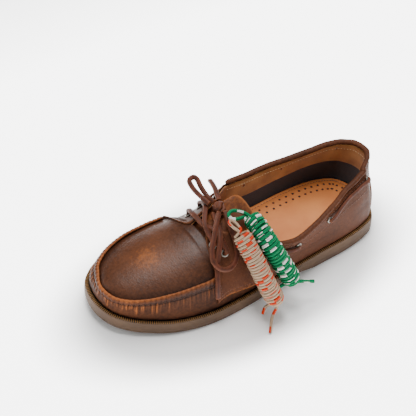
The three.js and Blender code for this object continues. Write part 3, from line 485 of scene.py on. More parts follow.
CROSSING = np.array([181.8, 8.6, 76.6])
throat_strands = [
    throat_strand("lace_strand_low", "eyelet_inner_front", "eyelet_outer_rear", -LACE_THICKNESS / 2),
    throat_strand("lace_strand_high", "eyelet_outer_front", "eyelet_inner_rear",
                  LACE_THICKNESS / 2 + LACE_REST),
]
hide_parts("lace_bars")

RUN_WIDTH = 3.4
RUN_THICKNESS = 2.2
RUN_SECTION = flat_section(RUN_WIDTH, RUN_THICKNESS)
RUN_LIFT = PROUD + LACE_REST + RUN_THICKNESS / 2
RUN_BOW = 0.05
RUN_ARCH = 1.4  # how far it rises beside an eyelet
RUN_POINTS = 70
RUN_UPWARD = 0.35  # how far its flat side turns up
EXIT_BESIDE = (0.014, -0.03)  # where it comes out from under the rear throat eyelet


def side_strand(name, start, end, leaves_eyelet):
    shares = np.linspace(0.1, 0.9, 7)
    places = np.outer(1 - shares, start) + np.outer(shares, end)
    places[:, 1] += RUN_BOW * np.sin(math.pi * shares)
    middle = [side_point(*place, RUN_LIFT + LACE_REST) for place in places]
    middle[-1] = side_point(*places[-1], RUN_LIFT + RUN_ARCH)
    head = [side_point(*start, RUN_LIFT)]
    if leaves_eyelet:
        middle[0] = side_point(*places[0], RUN_LIFT + RUN_ARCH)
        head = through_eyelet(start, PROUD + RUN_THICKNESS)[::-1]
    line = curve_through(head + middle + through_eyelet(end, PROUD + RUN_THICKNESS), RUN_POINTS)
    outward = outward_at(np.linspace(start[0], end[0], RUN_POINTS))
    flat_side = np.column_stack([outward, np.full(RUN_POINTS, RUN_UPWARD)])
    return swept(name, row_metres(line), RUN_SECTION, rawhide, flat_side)


outer_rear, inner_rear = THROAT_EYELETS["eyelet_outer_rear"], THROAT_EYELETS["eyelet_inner_rear"]
outer_exit = (outer_rear[0] - EXIT_BESIDE[0], outer_rear[1] + EXIT_BESIDE[1])
inner_exit = (inner_rear[0] + EXIT_BESIDE[0], inner_rear[1] + EXIT_BESIDE[1])
SIDE_STRANDS = [
    ("lace_run_outer_front", outer_exit, SIDE_EYELETS["side_eyelet_outer_1"], False),
    ("lace_run_inner_front", inner_exit, SIDE_EYELETS["side_eyelet_inner_1"], False),
    ("lace_run_outer_rear", SIDE_EYELETS["side_eyelet_outer_2"], SIDE_EYELETS["side_eyelet_outer_3"], True),
    ("lace_run_inner_rear", SIDE_EYELETS["side_eyelet_inner_2"], SIDE_EYELETS["side_eyelet_inner_3"], True),
]
side_strands = []
for node_name, start, end, leaves_eyelet in SIDE_STRANDS:
    strand = side_strand("rawhide_" + node_name, start, end, leaves_eyelet)
    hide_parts(node_name)
    side_strands.append(strand)

OUTER_LOOP = [
    (166.6, 7.2, 82.2), (171.5, 13.6, 85.8), (177.5, 20.4, 85.8), (183.6, 27.6, 81), (191.3, 36.4, 74.6),
    (194, 44.4, 68.2), (189, 50.4, 62.2), (179, 50.2, 58.8), (170.2, 44.6, 62), (165.8, 34.2, 72),
    (164.6, 21.5, 79.6), (161.6, 9.6, 84.6),
]
INNER_LOOP = [
    (163.6, -6, 82), (166, -13, 84.5), (165, -25, 84), (161.6, -38.5, 81.4), (162.4, -43, 79.4),
    (167, -41.5, 79.4), (170.8, -30, 82), (171.5, -17, 84.6), (168.6, -5.8, 82.8),
]
LACE_END = [
    (169.5, 3.4, 79), (172.8, 12, 80.6), (175.4, 21, 81.4), (178.6, 29.4, 78.6), (182, 34.8, 74),
    (185.4, 38.8, 69.2), (188.4, 42.4, 63.4), (192, 48.2, 57), (194.4, 53.6, 50), (196.2, 57.4, 42),
    (196.2, 58.6, 35.6),
]
LACE_TIP = [
    (158.6, -5.4, 83), (156.8, -12, 83), (153.6, -20, 81.6), (151.4, -28, 79.4), (150.2, -33.6, 77.6),
]
BOW = [
    # node, route, where it ends, points, wanted side of its flat face
    ("lace_loop_outer", OUTER_LOOP, "object", 110, (0.15, 0.75, 0.65)),
    ("lace_loop_inner", INNER_LOOP, "object", 90, (0.5, 0.3, 0.8)),
    ("lace_end", LACE_END, "bare", 90, (0.1, 0.8, 0.6)),
    ("lace_tip", LACE_TIP, "bare", 30, (-0.2, 0.2, 1.0)),
]
# The knot is two turns of the same lace pulled tight round the crossing, and one strand over them.
KNOT_CENTRE = np.array([162.4, 1.4, 80.2])
KNOT_RADII = (4.0, 4.6)
KNOT_LOW, KNOT_CLIMB = -3.4, 6.2
KNOT_START, KNOT_TURNS = 0.6, 2.2
KNOT_OVER = [(2.2, 2.6, 4.6), (0.4, 0.2, 5.6), (-2.4, -2.2, 4.2), (-4.6, -3.6, 0.6)]
KNOT_POINTS = 130
knot_angles = np.linspace(KNOT_START, 2 * math.pi * KNOT_TURNS, 60)[::5]
knot_turns = np.stack([
    KNOT_RADII[0] * np.cos(knot_angles), KNOT_RADII[1] * np.sin(knot_angles),
    KNOT_LOW + KNOT_CLIMB * knot_angles / (2 * math.pi * KNOT_TURNS),
], -1)
knot_line = curve_through(KNOT_CENTRE + np.vstack([knot_turns, KNOT_OVER]), KNOT_POINTS)
knot = swept("rawhide_knot", row_metres(knot_line), LACE_SECTION, rawhide, knot_line - KNOT_CENTRE)
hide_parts("lace_knot")
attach(knot, "root")

for node_name, route, far_end, count, flat_side in BOW:
    line = row_metres(curve_through(route, count))
    piece = swept("rawhide_" + node_name, line, LACE_SECTION, rawhide, flat_side)
    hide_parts(node_name)
    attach(piece, "root")
    print(node_name, round(length_of(line), 4), "m")

for piece in throat_strands + side_strands:
    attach(piece, "root")


# Spare laces: two braided cotton laces, each folded once and wound round itself into a tight hank,
# green with white flecks and beige with orange flecks. They are looped on the bow and hang outside.
HANKS = {
    "green": {
        "hank": [(146.5, 26.7, 86), (145.4, 41, 83), (142.6, 52.2, 74.4), (137.2, 61.6, 60),
                 (131, 67.8, 44.4), (125.8, 71.1, 31)],
        "top": [(148.2, 25, 87.3), (153.6, 19.5, 89.5), (159.3, 16.9, 90), (163.8, 18.5, 89.5),
                (163.2, 22.6, 87.5), (157.3, 24.3, 86), (150.4, 24.8, 85.3)],
        "front": [(127.4, 70.8, 28.6), (131.4, 66.5, 25.5), (138.5, 63.6, 18)],
        "rear": [(124, 72, 29.6), (116.5, 73.4, 28.2), (106.3, 77.2, 26)],
        "radius": 7.4, "turns": 25, "diameter": 3.3, "ground": "007C4A", "fleck": "F4F2EA",
        "nodes": ("green_hank", "green_top_loop", "green_front_end", "green_rear_end"),
    },
    "beige": {
        "hank": [(163.6, 37.6, 84.4), (161.8, 47.4, 75.8), (158.6, 59.2, 62.8), (154.8, 69, 46.6),
                 (150.2, 76, 32.4), (146.4, 77.6, 22.4)],
        "top": [(164.9, 36.4, 85.9), (167.4, 31.4, 87.6), (168.2, 26.6, 88.6), (165.8, 24.8, 89.2),
                (163.6, 28.6, 88.8), (162.6, 33, 87.6), (162.2, 36.6, 86)],
        "front": [(147.8, 76.8, 20.3), (150.5, 74.5, 17), (154.2, 72.8, 14), (158.5, 75.1, 9)],
        "rear": [(145.6, 78.3, 20.7), (147.5, 80, 15.5), (150.6, 80.8, 11), (154.5, 84.1, 7),
                 (160.7, 92, 1.6)],
        "radius": 7.5, "turns": 28, "diameter": 2.7, "ground": "C2A386", "fleck": "E03C10",
        "nodes": ("beige_hank", "beige_top_loop", "beige_short_end", "beige_long_end"),
    },
}
TURN_POINTS = 22
TURNS_SPAN = (0.02, 0.98)  # where the turns start and end, in shares of the hank
CORE_POINTS = 60
CORE_TRIM = 3  # points left out at both ends, where the loop and the front end bend away
END_POINTS = {"front": 14, "top": 46, "rear": 26}
CORD_SIDES = 9
PLAITS_ALONG = 900.0  # in a metre
PLAITS_ROUND = 6.0
STRANDS_ROUND = 5.0
DASHES_ALONG = 170.0  # in a metre
PLAIN_SHARE = 0.3  # of the dashes that could be flecks


def braided(name, ground, fleck):
    # Braided cotton: matt, each plait about 1.1 mm, with dashes of about 6 mm in the second yarn, and
    # painted shade between the plaits
    material, tree = new_material(name)
    route = add(tree, "ShaderNodeUVMap", uv_map="route")
    split = add(tree, "ShaderNodeSeparateXYZ", {"Vector": route})
    x, y = split.outputs["X"], split.outputs["Y"]
    along = add(tree, "ShaderNodeMath", {0: x, 1: PLAITS_ALONG}, operation="MULTIPLY")
    round_it = add(tree, "ShaderNodeMath", {0: y, 1: PLAITS_ROUND}, operation="MULTIPLY")
    plaits = []
    for operation in ("ADD", "SUBTRACT"):
        slant = add(tree, "ShaderNodeMath", {0: along, 1: round_it}, operation=operation)
        turn = add(tree, "ShaderNodeMath", {0: slant, 1: math.pi}, operation="MULTIPLY")
        plaits.append(add(tree, "ShaderNodeMath", {0: turn}, operation="SINE"))
    both = add(tree, "ShaderNodeMath", {0: plaits[0], 1: plaits[1]}, operation="MULTIPLY")
    strands = add(tree, "ShaderNodeMath", {0: y, 1: STRANDS_ROUND}, operation="MULTIPLY")
    strand = add(tree, "ShaderNodeMath", {0: strands}, operation="FLOOR")
    dashes = add(tree, "ShaderNodeMath", {0: x, 1: DASHES_ALONG, 2: strand}, operation="MULTIPLY_ADD")
    dash = add(tree, "ShaderNodeMath", {0: dashes}, operation="FLOOR")
    cell = add(tree, "ShaderNodeCombineXYZ", {"X": dash, "Y": strand})
    random_cell = add(tree, "ShaderNodeTexWhiteNoise", {"Vector": cell}, noise_dimensions="2D")
    chosen = add(tree, "ShaderNodeMath", {0: random_cell.outputs["Value"], 1: PLAIN_SHARE},
                 operation="GREATER_THAN")
    order = add(tree, "ShaderNodeMath", {0: strand, 1: 2.0, 2: dash}, operation="MULTIPLY_ADD")
    third = add(tree, "ShaderNodeMath", {0: order, 1: 3.0}, operation="FLOORED_MODULO")
    spaced = add(tree, "ShaderNodeMath", {0: third, 1: 0.5}, operation="LESS_THAN")
    is_fleck = add(tree, "ShaderNodeMath", {0: chosen, 1: spaced}, operation="MULTIPLY")
    yarn = add(tree, "ShaderNodeMix", {"Factor": is_fleck, "A": linear(ground), "B": linear(fleck)},
               data_type="RGBA")
    # Painted shade: the yarn is darkened in the dips between the plaits
    painted_plait_shade = add(tree, "ShaderNodeMapRange", {"Value": both, "From Min": -1.0, "To Min": 0.3})
    relief = add(tree, "ShaderNodeBump", {"Height": both, "Strength": 0.6, "Distance": 0.0004})
    dark = add(tree, "ShaderNodeHueSaturation", {"Color": yarn.outputs["Result"], "Value": painted_plait_shade})
    coat(tree, {"Base Color": dark, "Roughness": 0.85, "Specular IOR Level": 0.2, "Normal": relief})
    return material


def hank_route(facts):
    """The whole lace in one line: front end, up through the middle, top loop, turns, then the rear end."""
    core = curve_through(facts["hank"], CORE_POINTS)
    tangents = unit(np.gradient(core, axis=0))
    side = np.array([1.0, 0.0, 0.0])
    sides = []
    for tangent in tangents:
        side = unit(side - tangent * side.dot(tangent))
        sides.append(side)
    steps = facts["turns"] * TURN_POINTS
    share = np.linspace(*TURNS_SPAN, steps)
    angle = 2 * math.pi * facts["turns"] * np.linspace(0, 1, steps)
    sources = np.column_stack([core, sides, np.cross(tangents, sides)])
    where = rows_between(share * (CORE_POINTS - 1), np.arange(CORE_POINTS), sources)
    middle, sideways, across = where[:, :3], where[:, 3:6], where[:, 6:]
    # The turns taper at both ends and lie a little unevenly
    radius = facts["radius"] * np.minimum(1, 0.42 + 2.2 * np.sqrt(share * (1 - share)))
    radius = radius * (1 + 0.025 * np.sin(angle * 0.37) + 0.02 * np.sin(angle * 2.0))
    turns = middle + radius[:, None] * (np.cos(angle)[:, None] * sideways + np.sin(angle)[:, None] * across)
    inside = core[::-1][CORE_TRIM:-CORE_TRIM]
    first = curve_through([*facts["front"][::-1], inside[0]], END_POINTS["front"])
    top = curve_through([inside[-1], *facts["top"], turns[0]], END_POINTS["top"])
    last = curve_through([turns[-1], *facts["rear"]], END_POINTS["rear"])
    return np.vstack([first[:-1], inside, top[1:-1], turns, last[1:]])


def round_section(diameter, sides):
    angles = 2 * math.pi * np.arange(sides) / sides
    return np.stack([np.cos(angles), np.sin(angles)], -1) * diameter / 2


for colour, facts in HANKS.items():
    braid = braided("braided cotton, " + colour, facts["ground"], facts["fleck"])
    line = row_metres(hank_route(facts))
    piece = swept(colour + "_spare_lace", line, round_section(facts["diameter"] * 0.001, CORD_SIDES), braid)
    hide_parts(*facts["nodes"])
    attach(piece, "root")
    print(colour, "spare lace", round(length_of(line), 3), "m")


# Unit sole: one moulding of matt gum rubber, with a ribbed ledge that stands out round the upper,
# a smooth side with a fine line near the floor, a raised waist and sipes across heel and forefoot.
SOLE_STATIONS = 240
SOLE_LEVELS = [
    # inset from the outline, share of the height, and rise in millimetres, from the tread up and in
    (9.0, 0.0, 0.0), (3.2, 0.0, 0.0), (1.2, 0.0, 0.1), (0.35, 0.0, 0.7), (0.1, 0.0, 1.8),
    (0.3, 0.0, 2.3), (0.35, 0.0, 2.7), (0.0, 0.0, 3.1), (-0.1, 0.3, 1.8), (-0.15, 0.55, 0.8),
    (0.0, 0.78, 0.5), (0.15, 1.0, -1.9), (0.1, 1.0, -1.2), (0.3, 1.0, -0.45), (0.9, 1.0, -0.08),
    (1.7, 1.0, 0.0), (3.2, 1.0, -0.05), (4.3, 1.0, -0.5), (5.2, 1.0, -1.0), (7.5, 1.0, -1.0),
]
LEDGE_TOP = 14  # first level of the ledge's top, painted dark as shade between its ribs and down into the gap at the upper
ARCH = (0.27, 0.38, 0.53)
ARCH_RISE = 6.0


def stacked_solid(levels, count, height_of):
    """Closed solid of rings inside the sole's outline, from the bottom up. Each ring has left and right
    pairs from heel to toe, closer at both ends, and each level starts with its inset."""
    even = np.arange(1, count) / count
    share = 0.35 * even + 0.65 * (1 - np.cos(math.pi * even)) / 2
    around = np.concatenate([[0.0], share * TOE, [TOE], 1 - share[::-1] * (1 - TOE)])
    outline, outward = outline_at(around), outward_at(around)
    rings = []
    for inset, *rest in levels:
        spot = outline - inset * outward
        rings.append(np.column_stack([spot, height_of(outline[:, 0], spot[:, 0], *rest)]))
    size = len(around)
    faces = grid_faces(len(levels), size, False, True)
    top = (len(levels) - 1) * size
    for left in range(count):
        right, next_left, next_right = -left % size, left + 1, -(left + 1) % size
        faces.append(tuple(dict.fromkeys([left, next_left, next_right, right])))
        faces.append(tuple(dict.fromkeys(top + spot for spot in (left, right, next_right, next_left))))
    return np.vstack(rings), faces


def sole_height(outline_x, ring_x, share, rise):
    along = outline_x / LENGTH
    waist = ARCH_RISE * smooth(along, *ARCH[:2]) * (1 - smooth(along, *ARCH[1:]))
    low = np.maximum(sole_bottom(outline_x), waist)
    return low + share * (sole_top(outline_x) - low) + rise


# Gum rubber: grey brown, matt, with faint scuffs and dust; the ledge is a little more golden, and its top
# between the ribs is near black, which is painted shade.
gum, tree = new_material("moulded gum rubber")
place = add(tree, "ShaderNodeTexCoord").outputs["Object"]
ledge_mask = add(tree, "ShaderNodeAttribute", attribute_name="ledge").outputs["Fac"]
ledge_tone = add(tree, "ShaderNodeMix", {
    "Factor": ledge_mask, "A": mottled(tree, place, 45.0, 5.0, "4A3626", "5B4431", 0.35, 0.7),
    "B": linear("7E5A30"),
}, data_type="RGBA")
# Painted shade: the ledge's top levels, between the ribs and in the gap at the upper, are near black
painted_groove_shade_mask = add(tree, "ShaderNodeMath", {0: ledge_mask, 1: -1.0}, operation="MULTIPLY", use_clamp=True)
tone_with_painted_groove_shade = add(tree, "ShaderNodeMix", {
    "Factor": painted_groove_shade_mask, "A": ledge_tone.outputs["Result"], "B": linear("1A0F08"),
}, data_type="RGBA")
coat(tree, {
    "Base Color": tone_with_painted_groove_shade.outputs["Result"], "Roughness": 0.62, "IOR": 1.5, "Specular IOR Level": 0.3,
    "Normal": uneven(tree, place, 1100.0, 2.0, 0.15, 0.0002),
})


def give_values(piece, label, values):
    """A value on each vertex, which the piece's material reads."""
    attribute = piece.data.attributes.new(label, "FLOAT", "POINT")
    attribute.data.foreach_set("value", np.asarray(values, float).ravel())


vertices, faces = stacked_solid(SOLE_LEVELS, SOLE_STATIONS, sole_height)
outsole = mesh_piece("unit_sole", row_metres(vertices), faces, gum)
# The ledge's top levels take the painted shade between the ribs
is_ledge_top = np.arange(len(SOLE_LEVELS)) >= LEDGE_TOP
give_values(outsole, "ledge", np.repeat(np.where(is_ledge_top, -1.0, 0.0), 2 * SOLE_STATIONS))


def keep_plain(piece):
    """The piece as its modifiers leave it, with none of them left on it."""
    evaluated = piece.evaluated_get(bpy.context.evaluated_depsgraph_get())
    plain = bpy.data.meshes.new_from_object(evaluated)
    piece.modifiers.clear()
    piece.data = plain
    return piece


# Ribs of the ledge: short rounded bars across it, all the way round. The real ones stand about
# 1.2 mm apart, and they are drawn coarser so that they still show.
BAR_SIZES = ("Length", "Width", "Height")
UPWARD = (0.0, 0.0, 1.0)


def scatter_tree(name, sizes, material):
    """Geometry Nodes: one small rounded bar on each point, turned along its path and out of its surface."""
    group = bpy.data.node_groups.new(name, "GeometryNodeTree")
    group.interface.new_socket("Geometry", in_out="INPUT", socket_type="NodeSocketGeometry")
    for label, value in zip(BAR_SIZES, sizes):
        socket = group.interface.new_socket(label, in_out="INPUT", socket_type="NodeSocketFloat")
        socket.default_value = value
    group.interface.new_socket("Geometry", in_out="OUTPUT", socket_type="NodeSocketGeometry")
    start = add(group, "NodeGroupInput")
    size = add(group, "ShaderNodeCombineXYZ", {
        axis: start.outputs[label] for axis, label in zip("XYZ", BAR_SIZES)
    })
    ball = add(group, "GeometryNodeMeshIcoSphere", {"Radius": 0.5, "Subdivisions": 2})
    scaled = add(group, "GeometryNodeTransform", {"Geometry": ball.outputs["Mesh"], "Scale": size})
    along, outward = [
        add(group, "GeometryNodeInputNamedAttribute", {"Name": label}, data_type="FLOAT_VECTOR")
        for label in ("along", "outward")
    ]
    faced = add(group, "FunctionNodeAlignRotationToVector", {
        "Vector": outward.outputs["Attribute"],
    }, axis="Z")
    turned = add(group, "FunctionNodeAlignRotationToVector", {
        "Rotation": faced, "Vector": along.outputs["Attribute"],
    }, axis="X", pivot_axis="Z")
    placed = add(group, "GeometryNodeInstanceOnPoints", {
        "Points": start.outputs["Geometry"], "Instance": scaled, "Rotation": turned,
    })
    real = add(group, "GeometryNodeRealizeInstances", {"Geometry": placed})
    shaded = add(group, "GeometryNodeSetShadeSmooth", {"Geometry": real})
    dressed = add(group, "GeometryNodeSetMaterial", {"Geometry": shaded, "Material": material})
    add(group, "NodeGroupOutput", {"Geometry": dressed})
    return group


def bars_on(name, spots, along, outward, sizes, material):
    """Small bars on the spots, each turned along its seam and out of its surface. All in millimetres."""
    mesh = bpy.data.meshes.new(name)
    mesh.from_pydata([tuple(map(float, spot)) for spot in row_metres(spots)], [], [])
    for label, vectors in (("along", along), ("outward", outward)):
        attribute = mesh.attributes.new(label, "FLOAT_VECTOR", "POINT")
        attribute.data.foreach_set("vector", np.broadcast_to(vectors, (len(spots), 3)).ravel())
    piece = bpy.data.objects.new(name, mesh)
    bpy.context.scene.collection.objects.link(piece)
    sizes = [size * 0.001 for size in sizes]
    modifier = piece.modifiers.new("bars", "NODES")
    modifier.node_group = scatter_tree(name + " tree", sizes, material)
    for label, value in zip(BAR_SIZES, sizes):
        modifier[modifier.node_group.interface.items_tree[label].identifier] = value
    return keep_plain(piece)


RIB_PITCH = 1.9
RIB_INSET = 2.1
RIB_SIZES = (3.6, 1.05, 1.6)
RIB_SINK = 0.02
rib_count = int(outline_walk[-1] / RIB_PITCH)
rib_around = np.arange(rib_count) / rib_count
rib_outward = outward_at(rib_around)
rib_outline = outline_at(rib_around)
rib_spots = np.column_stack([rib_outline - RIB_INSET * rib_outward, sole_top(rib_outline[:, 0]) - RIB_SINK])
rib_along = np.column_stack([rib_outward, np.zeros(rib_count)])
ribs = bars_on("ledge_ribs", rib_spots, rib_along, UPWARD, RIB_SIZES, gum)
give_values(ribs, "ledge", np.ones(len(ribs.data.vertices)))

# Sipes: shallow chevron cuts across the tread
SIPES = [(0.05, 0.24), (0.55, 0.86)]
SIPE_PITCH = 11.0
SIPE_WIDTH = 2.2
SIPE_LEAN = 5.8
SIPE_REACH = 0.36
SIPE_DEPTHS = (-3.0, 1.4)
sipe_vertices, sipe_faces = [], []
for start, end in SIPES:
    for x in np.arange(start * LENGTH, end * LENGTH, SIPE_PITCH):
        low = len(sipe_vertices)
        high = low + 6
        floor_height = float(sole_bottom(x + SIPE_LEAN / 2))
        for depth in SIPE_DEPTHS:
            for side, lean in ((-1, 0.0), (0, SIPE_LEAN), (1, 0.0)):
                for step in (0.0, SIPE_WIDTH):
                    spot = (x + lean + step, side * SIPE_REACH * BALL_WIDTH, floor_height + depth)
                    sipe_vertices.append(spot)
        sipe_faces += [
            (low, low + 2, low + 3, low + 1), (low + 2, low + 4, low + 5, low + 3),
            (high, high + 1, high + 3, high + 2), (high + 2, high + 3, high + 5, high + 4),
            (low, high, high + 2, low + 2), (low + 2, high + 2, high + 4, low + 4),
            (low + 1, low + 3, high + 3, high + 1), (low + 3, low + 5, high + 5, high + 3),
            (low, low + 1, high + 1, high), (low + 4, high + 4, high + 5, low + 5),
        ]
sipe_tool = mesh_piece("sipe_tool", row_metres(sipe_vertices), sipe_faces, gum, smooth=False)
cut = outsole.modifiers.new("sipes", "BOOLEAN")
cut.operation = "DIFFERENCE"
cut.solver = "EXACT"
cut.object = sipe_tool
keep_plain(outsole)
bpy.data.objects.remove(sipe_tool)
for piece in (outsole, ribs):
    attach(piece, "root")
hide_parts("outsole")


# Footbed: a foam board covered in smooth tan leather, edge stitched, with staggered rows of pinholes.
# It lies on the sole, inside the upper's wall.
FOOTBED = 5.6
FOOTBED_STATIONS = 120
INSOLE_INSET = LEDGE + WALL + 5 * FIT_GAP
BED_TOP = FIT_GAP + FOOTBED
BED_GROOVE = INSOLE_INSET + 3.4
BED_LEVELS = [
    # inset from the outline and rise over the sole's edge, with the stitching's groove near the end
    (INSOLE_INSET + 1.0, FIT_GAP), (INSOLE_INSET + 0.2, FIT_GAP + 0.3), (INSOLE_INSET, FIT_GAP + 1.2),
    (INSOLE_INSET, BED_TOP - 1.3), (INSOLE_INSET + 0.3, BED_TOP - 0.5), (INSOLE_INSET + 1.1, BED_TOP),
    (INSOLE_INSET + 3.0, BED_TOP), (BED_GROOVE, BED_TOP - 0.35), (INSOLE_INSET + 3.8, BED_TOP),
    (INSOLE_INSET + 8.0, BED_TOP - 0.1),
]

# Tan leather: smooth, barely mottled, with fine pores
footbed_leather, tree = new_material("smooth tan footbed leather")
place = add(tree, "ShaderNodeTexCoord").outputs["Object"]
pores = add(tree, "ShaderNodeTexVoronoi", {"Vector": place, "Scale": 1500.0}).outputs["Distance"]
coat(tree, {
    "Base Color": mottled(tree, place, 30.0, 5.0, "A65E2E", "BC763E"), "Roughness": 0.6,
    "Specular IOR Level": 0.25,
    "Normal": add(tree, "ShaderNodeBump", {"Height": pores, "Strength": 0.12, "Distance": 0.0002}),
})


def bed_height(outline_x, ring_x, rise):
    return sole_top(ring_x) + rise


vertices, faces = stacked_solid(BED_LEVELS, FOOTBED_STATIONS, bed_height)
footbed = mesh_piece("footbed", row_metres(vertices), faces, footbed_leather)
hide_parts("insole")


def plain_material(name, code, inputs):
    """Material of one colour, without a pattern of its own."""
    material, tree = new_material(name)
    coat(tree, {"Base Color": linear(code), **inputs})
    return material


# Pinholes in staggered rows along the edge, drawn as dark recessed dots
pinhole_dark = plain_material("shadow inside a pinhole", "2A140A", {"Roughness": 0.9})
PINHOLE_ROWS = [
    # inset from the footbed's edge, shift along it, first and last place from heel to toe
    (8.0, 0.0, 0.03, 0.66), (14.0, 0.5, 0.06, 0.66),
]
PINHOLE_PITCH = 7.6
PINHOLE_SIZES = (2.4, 2.4, 0.4)
PINHOLE_SINK = 0.05
hole_count = int(outline_walk[-1] / PINHOLE_PITCH)
holes = []
for inset, shift, start, end in PINHOLE_ROWS:
    places = (np.arange(hole_count) + shift) / hole_count
    for x, y in outline_at(places) - (INSOLE_INSET + inset) * outward_at(places):
        if start < x / LENGTH < end:
            holes.append((x, y, float(sole_top(x)) + BED_TOP - PINHOLE_SINK))
pinholes = bars_on("footbed_pinholes", holes, (1.0, 0, 0), UPWARD, PINHOLE_SIZES, pinhole_dark)

# Edge stitches of the footbed cover, in waxed thread with a fine twist
thread, tree = new_material("waxed polyester thread")
place = add(tree, "ShaderNodeTexCoord").outputs["Object"]
coat(tree, {
    "Base Color": linear("5A3422"), "Roughness": 0.5, "IOR": 1.5,
    "Normal": uneven(tree, place, 1500.0, 1.0, 0.3, 0.0002),
})
BED_STITCH_PITCH = 3.2
BED_STITCH_SIZES = (2.2, 0.8, 0.6)
BED_STITCH_SINK = 0.15
bed_count = int(outline_walk[-1] / BED_STITCH_PITCH)
bed_around = (np.arange(bed_count) + 0.5) / bed_count
bed_outward = outward_at(bed_around)
bed_line = outline_at(bed_around) - BED_GROOVE * bed_outward
bed_spots = np.column_stack([bed_line, sole_top(bed_line[:, 0]) + BED_TOP - BED_STITCH_SINK])
bed_along = np.column_stack([bed_outward[:, 1], -bed_outward[:, 0], np.zeros(bed_count)])
bed_stitches = bars_on("footbed_stitches", bed_spots, bed_along, UPWARD, BED_STITCH_SIZES, thread)
for piece in (footbed, pinholes, bed_stitches):
    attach(piece, "root")


# Vamp and plug: one skin of waxed, burnished pull-up leather, moulded over the last. Its side is
# gathered into puckers under the moccasin seam, and the plug creases where the foot bends.
def leather(name, dark, middle, light, gloss, grain=0.35, shine=0.3):
    # Pull-up leather: warm brown that lightens where it is stretched or rubbed, pebbled grain, wax sheen.
    # The per-vertex tone value also carries painted highlights and shade on some pieces.
    material, tree = new_material(name)
    place = add(tree, "ShaderNodeTexCoord").outputs["Object"]
    cloud, streak, pebble = [
        add(tree, "ShaderNodeTexNoise", {"Vector": place, "Scale": scale, "Detail": detail}).outputs["Fac"]
        for scale, detail in ((26.0, 4.0), (380.0, 5.0), (420.0, 5.0))
    ]
    broad = add(tree, "ShaderNodeMath", {0: cloud, 1: 0.4, 2: 0.3}, operation="MULTIPLY_ADD")
    mixed = add(tree, "ShaderNodeMath", {0: streak, 1: 0.3, 2: broad}, operation="MULTIPLY_ADD")
    tone_and_painted_light = add(tree, "ShaderNodeAttribute", attribute_name="tone_and_painted_light")
    worn_and_painted_light = add(tree, "ShaderNodeMath", {0: mixed, 1: tone_and_painted_light.outputs["Fac"]}, operation="ADD")
    tone = add(tree, "ShaderNodeValToRGB", {"Fac": worn_and_painted_light})
    ramp = tone.color_ramp
    ramp.elements[0].position = 0.42
    ramp.elements[0].color = linear(dark)
    ramp.elements[1].position = 1.0
    ramp.elements[1].color = linear(light)
    ramp.elements.new(0.72).color = linear(middle)
    pores = add(tree, "ShaderNodeTexVoronoi", {"Vector": place, "Scale": 900.0})
    height = add(tree, "ShaderNodeMath", {0: pores.outputs["Distance"], 1: 0.5, 2: pebble},
                 operation="MULTIPLY_ADD")
    relief = add(tree, "ShaderNodeBump", {"Height": height, "Strength": grain, "Distance": 0.0004})
    rough = add(tree, "ShaderNodeMapRange", {
        "Value": cloud, "From Min": 0.3, "From Max": 0.7, "To Min": gloss - 0.06, "To Max": gloss + 0.08,
    })
    coat(tree, {
        "Base Color": tone, "Roughness": rough, "IOR": 1.5, "Specular IOR Level": shine, "Normal": relief,
    })
    return material


vamp_leather = leather("burnished pull-up leather", "24120A", "54301C", "9C5A2A", 0.38, shine=0.19)
gathered_leather = leather("gathered side of the vamp", "24120A", "54301C", "98562A", 0.55, shine=0.08)


def shell(name, face, back, material, closed=False, tone_and_painted_light=None):
    """Solid between a face and a back grid of the same size; rows run round the foot, columns upwards."""
    rows, columns = face.shape[:2]
    section = np.concatenate([face, back[:, ::-1]], axis=1)
    faces = tube_faces(rows, 2 * columns, closed)
    piece = mesh_piece(name, row_metres(section.reshape(-1, 3)), faces, material)
    give_values(piece, "tone_and_painted_light", np.concatenate([tone_and_painted_light, tone_and_painted_light[:, ::-1]], axis=1))
    return piece


PUCKER_PITCH = 4.6
PUCKER_DEPTH = 1.15
foot_line = outline_walk[-1] - 2 * math.pi * LEDGE
PUCKERS = round((INNER_SEAM_END - OUTER_SEAM_END) * foot_line / PUCKER_PITCH)


def seam_share(around):
    return (np.asarray(around) - OUTER_SEAM_END) / (INNER_SEAM_END - OUTER_SEAM_END)


def wave(turn):
    """Even wave between 0 and 1."""
    return 0.5 + 0.5 * np.cos(turn)


def pucker(around, height):
    """Gathers under the seam: deepest at its edge, strongest round the toe and uneven below."""
    share = seam_share(around)
    below = 1 - smooth(height, 0.7, 0.95)
    turn = 2 * math.pi * PUCKERS * share + below * (0.9 * np.sin(71 * share) + 0.5 * np.sin(173 * share + 1))
    finer = 1.9 * turn + 0.8 * np.sin(37 * share)
    ridge = 0.65 * wave(turn)**2 + 0.55 * wave(finer)**2
    varied = 1 + 0.3 * np.sin(23 * share + 1.2) + 0.3 * np.sin(61 * share) + 0.2 * np.sin(127 * share + 2)
    near_toe = 0.6 + 0.4 * smooth(1 - np.abs(2 * share - 1), 0.1, 0.6)
    reach = 0.3 + 0.14 * np.sin(97 * share) + 0.08 * np.sin(211 * share + 0.5)
    return PUCKER_DEPTH * near_toe * varied * ridge * smooth((height - reach) / 0.4, 0, 1)


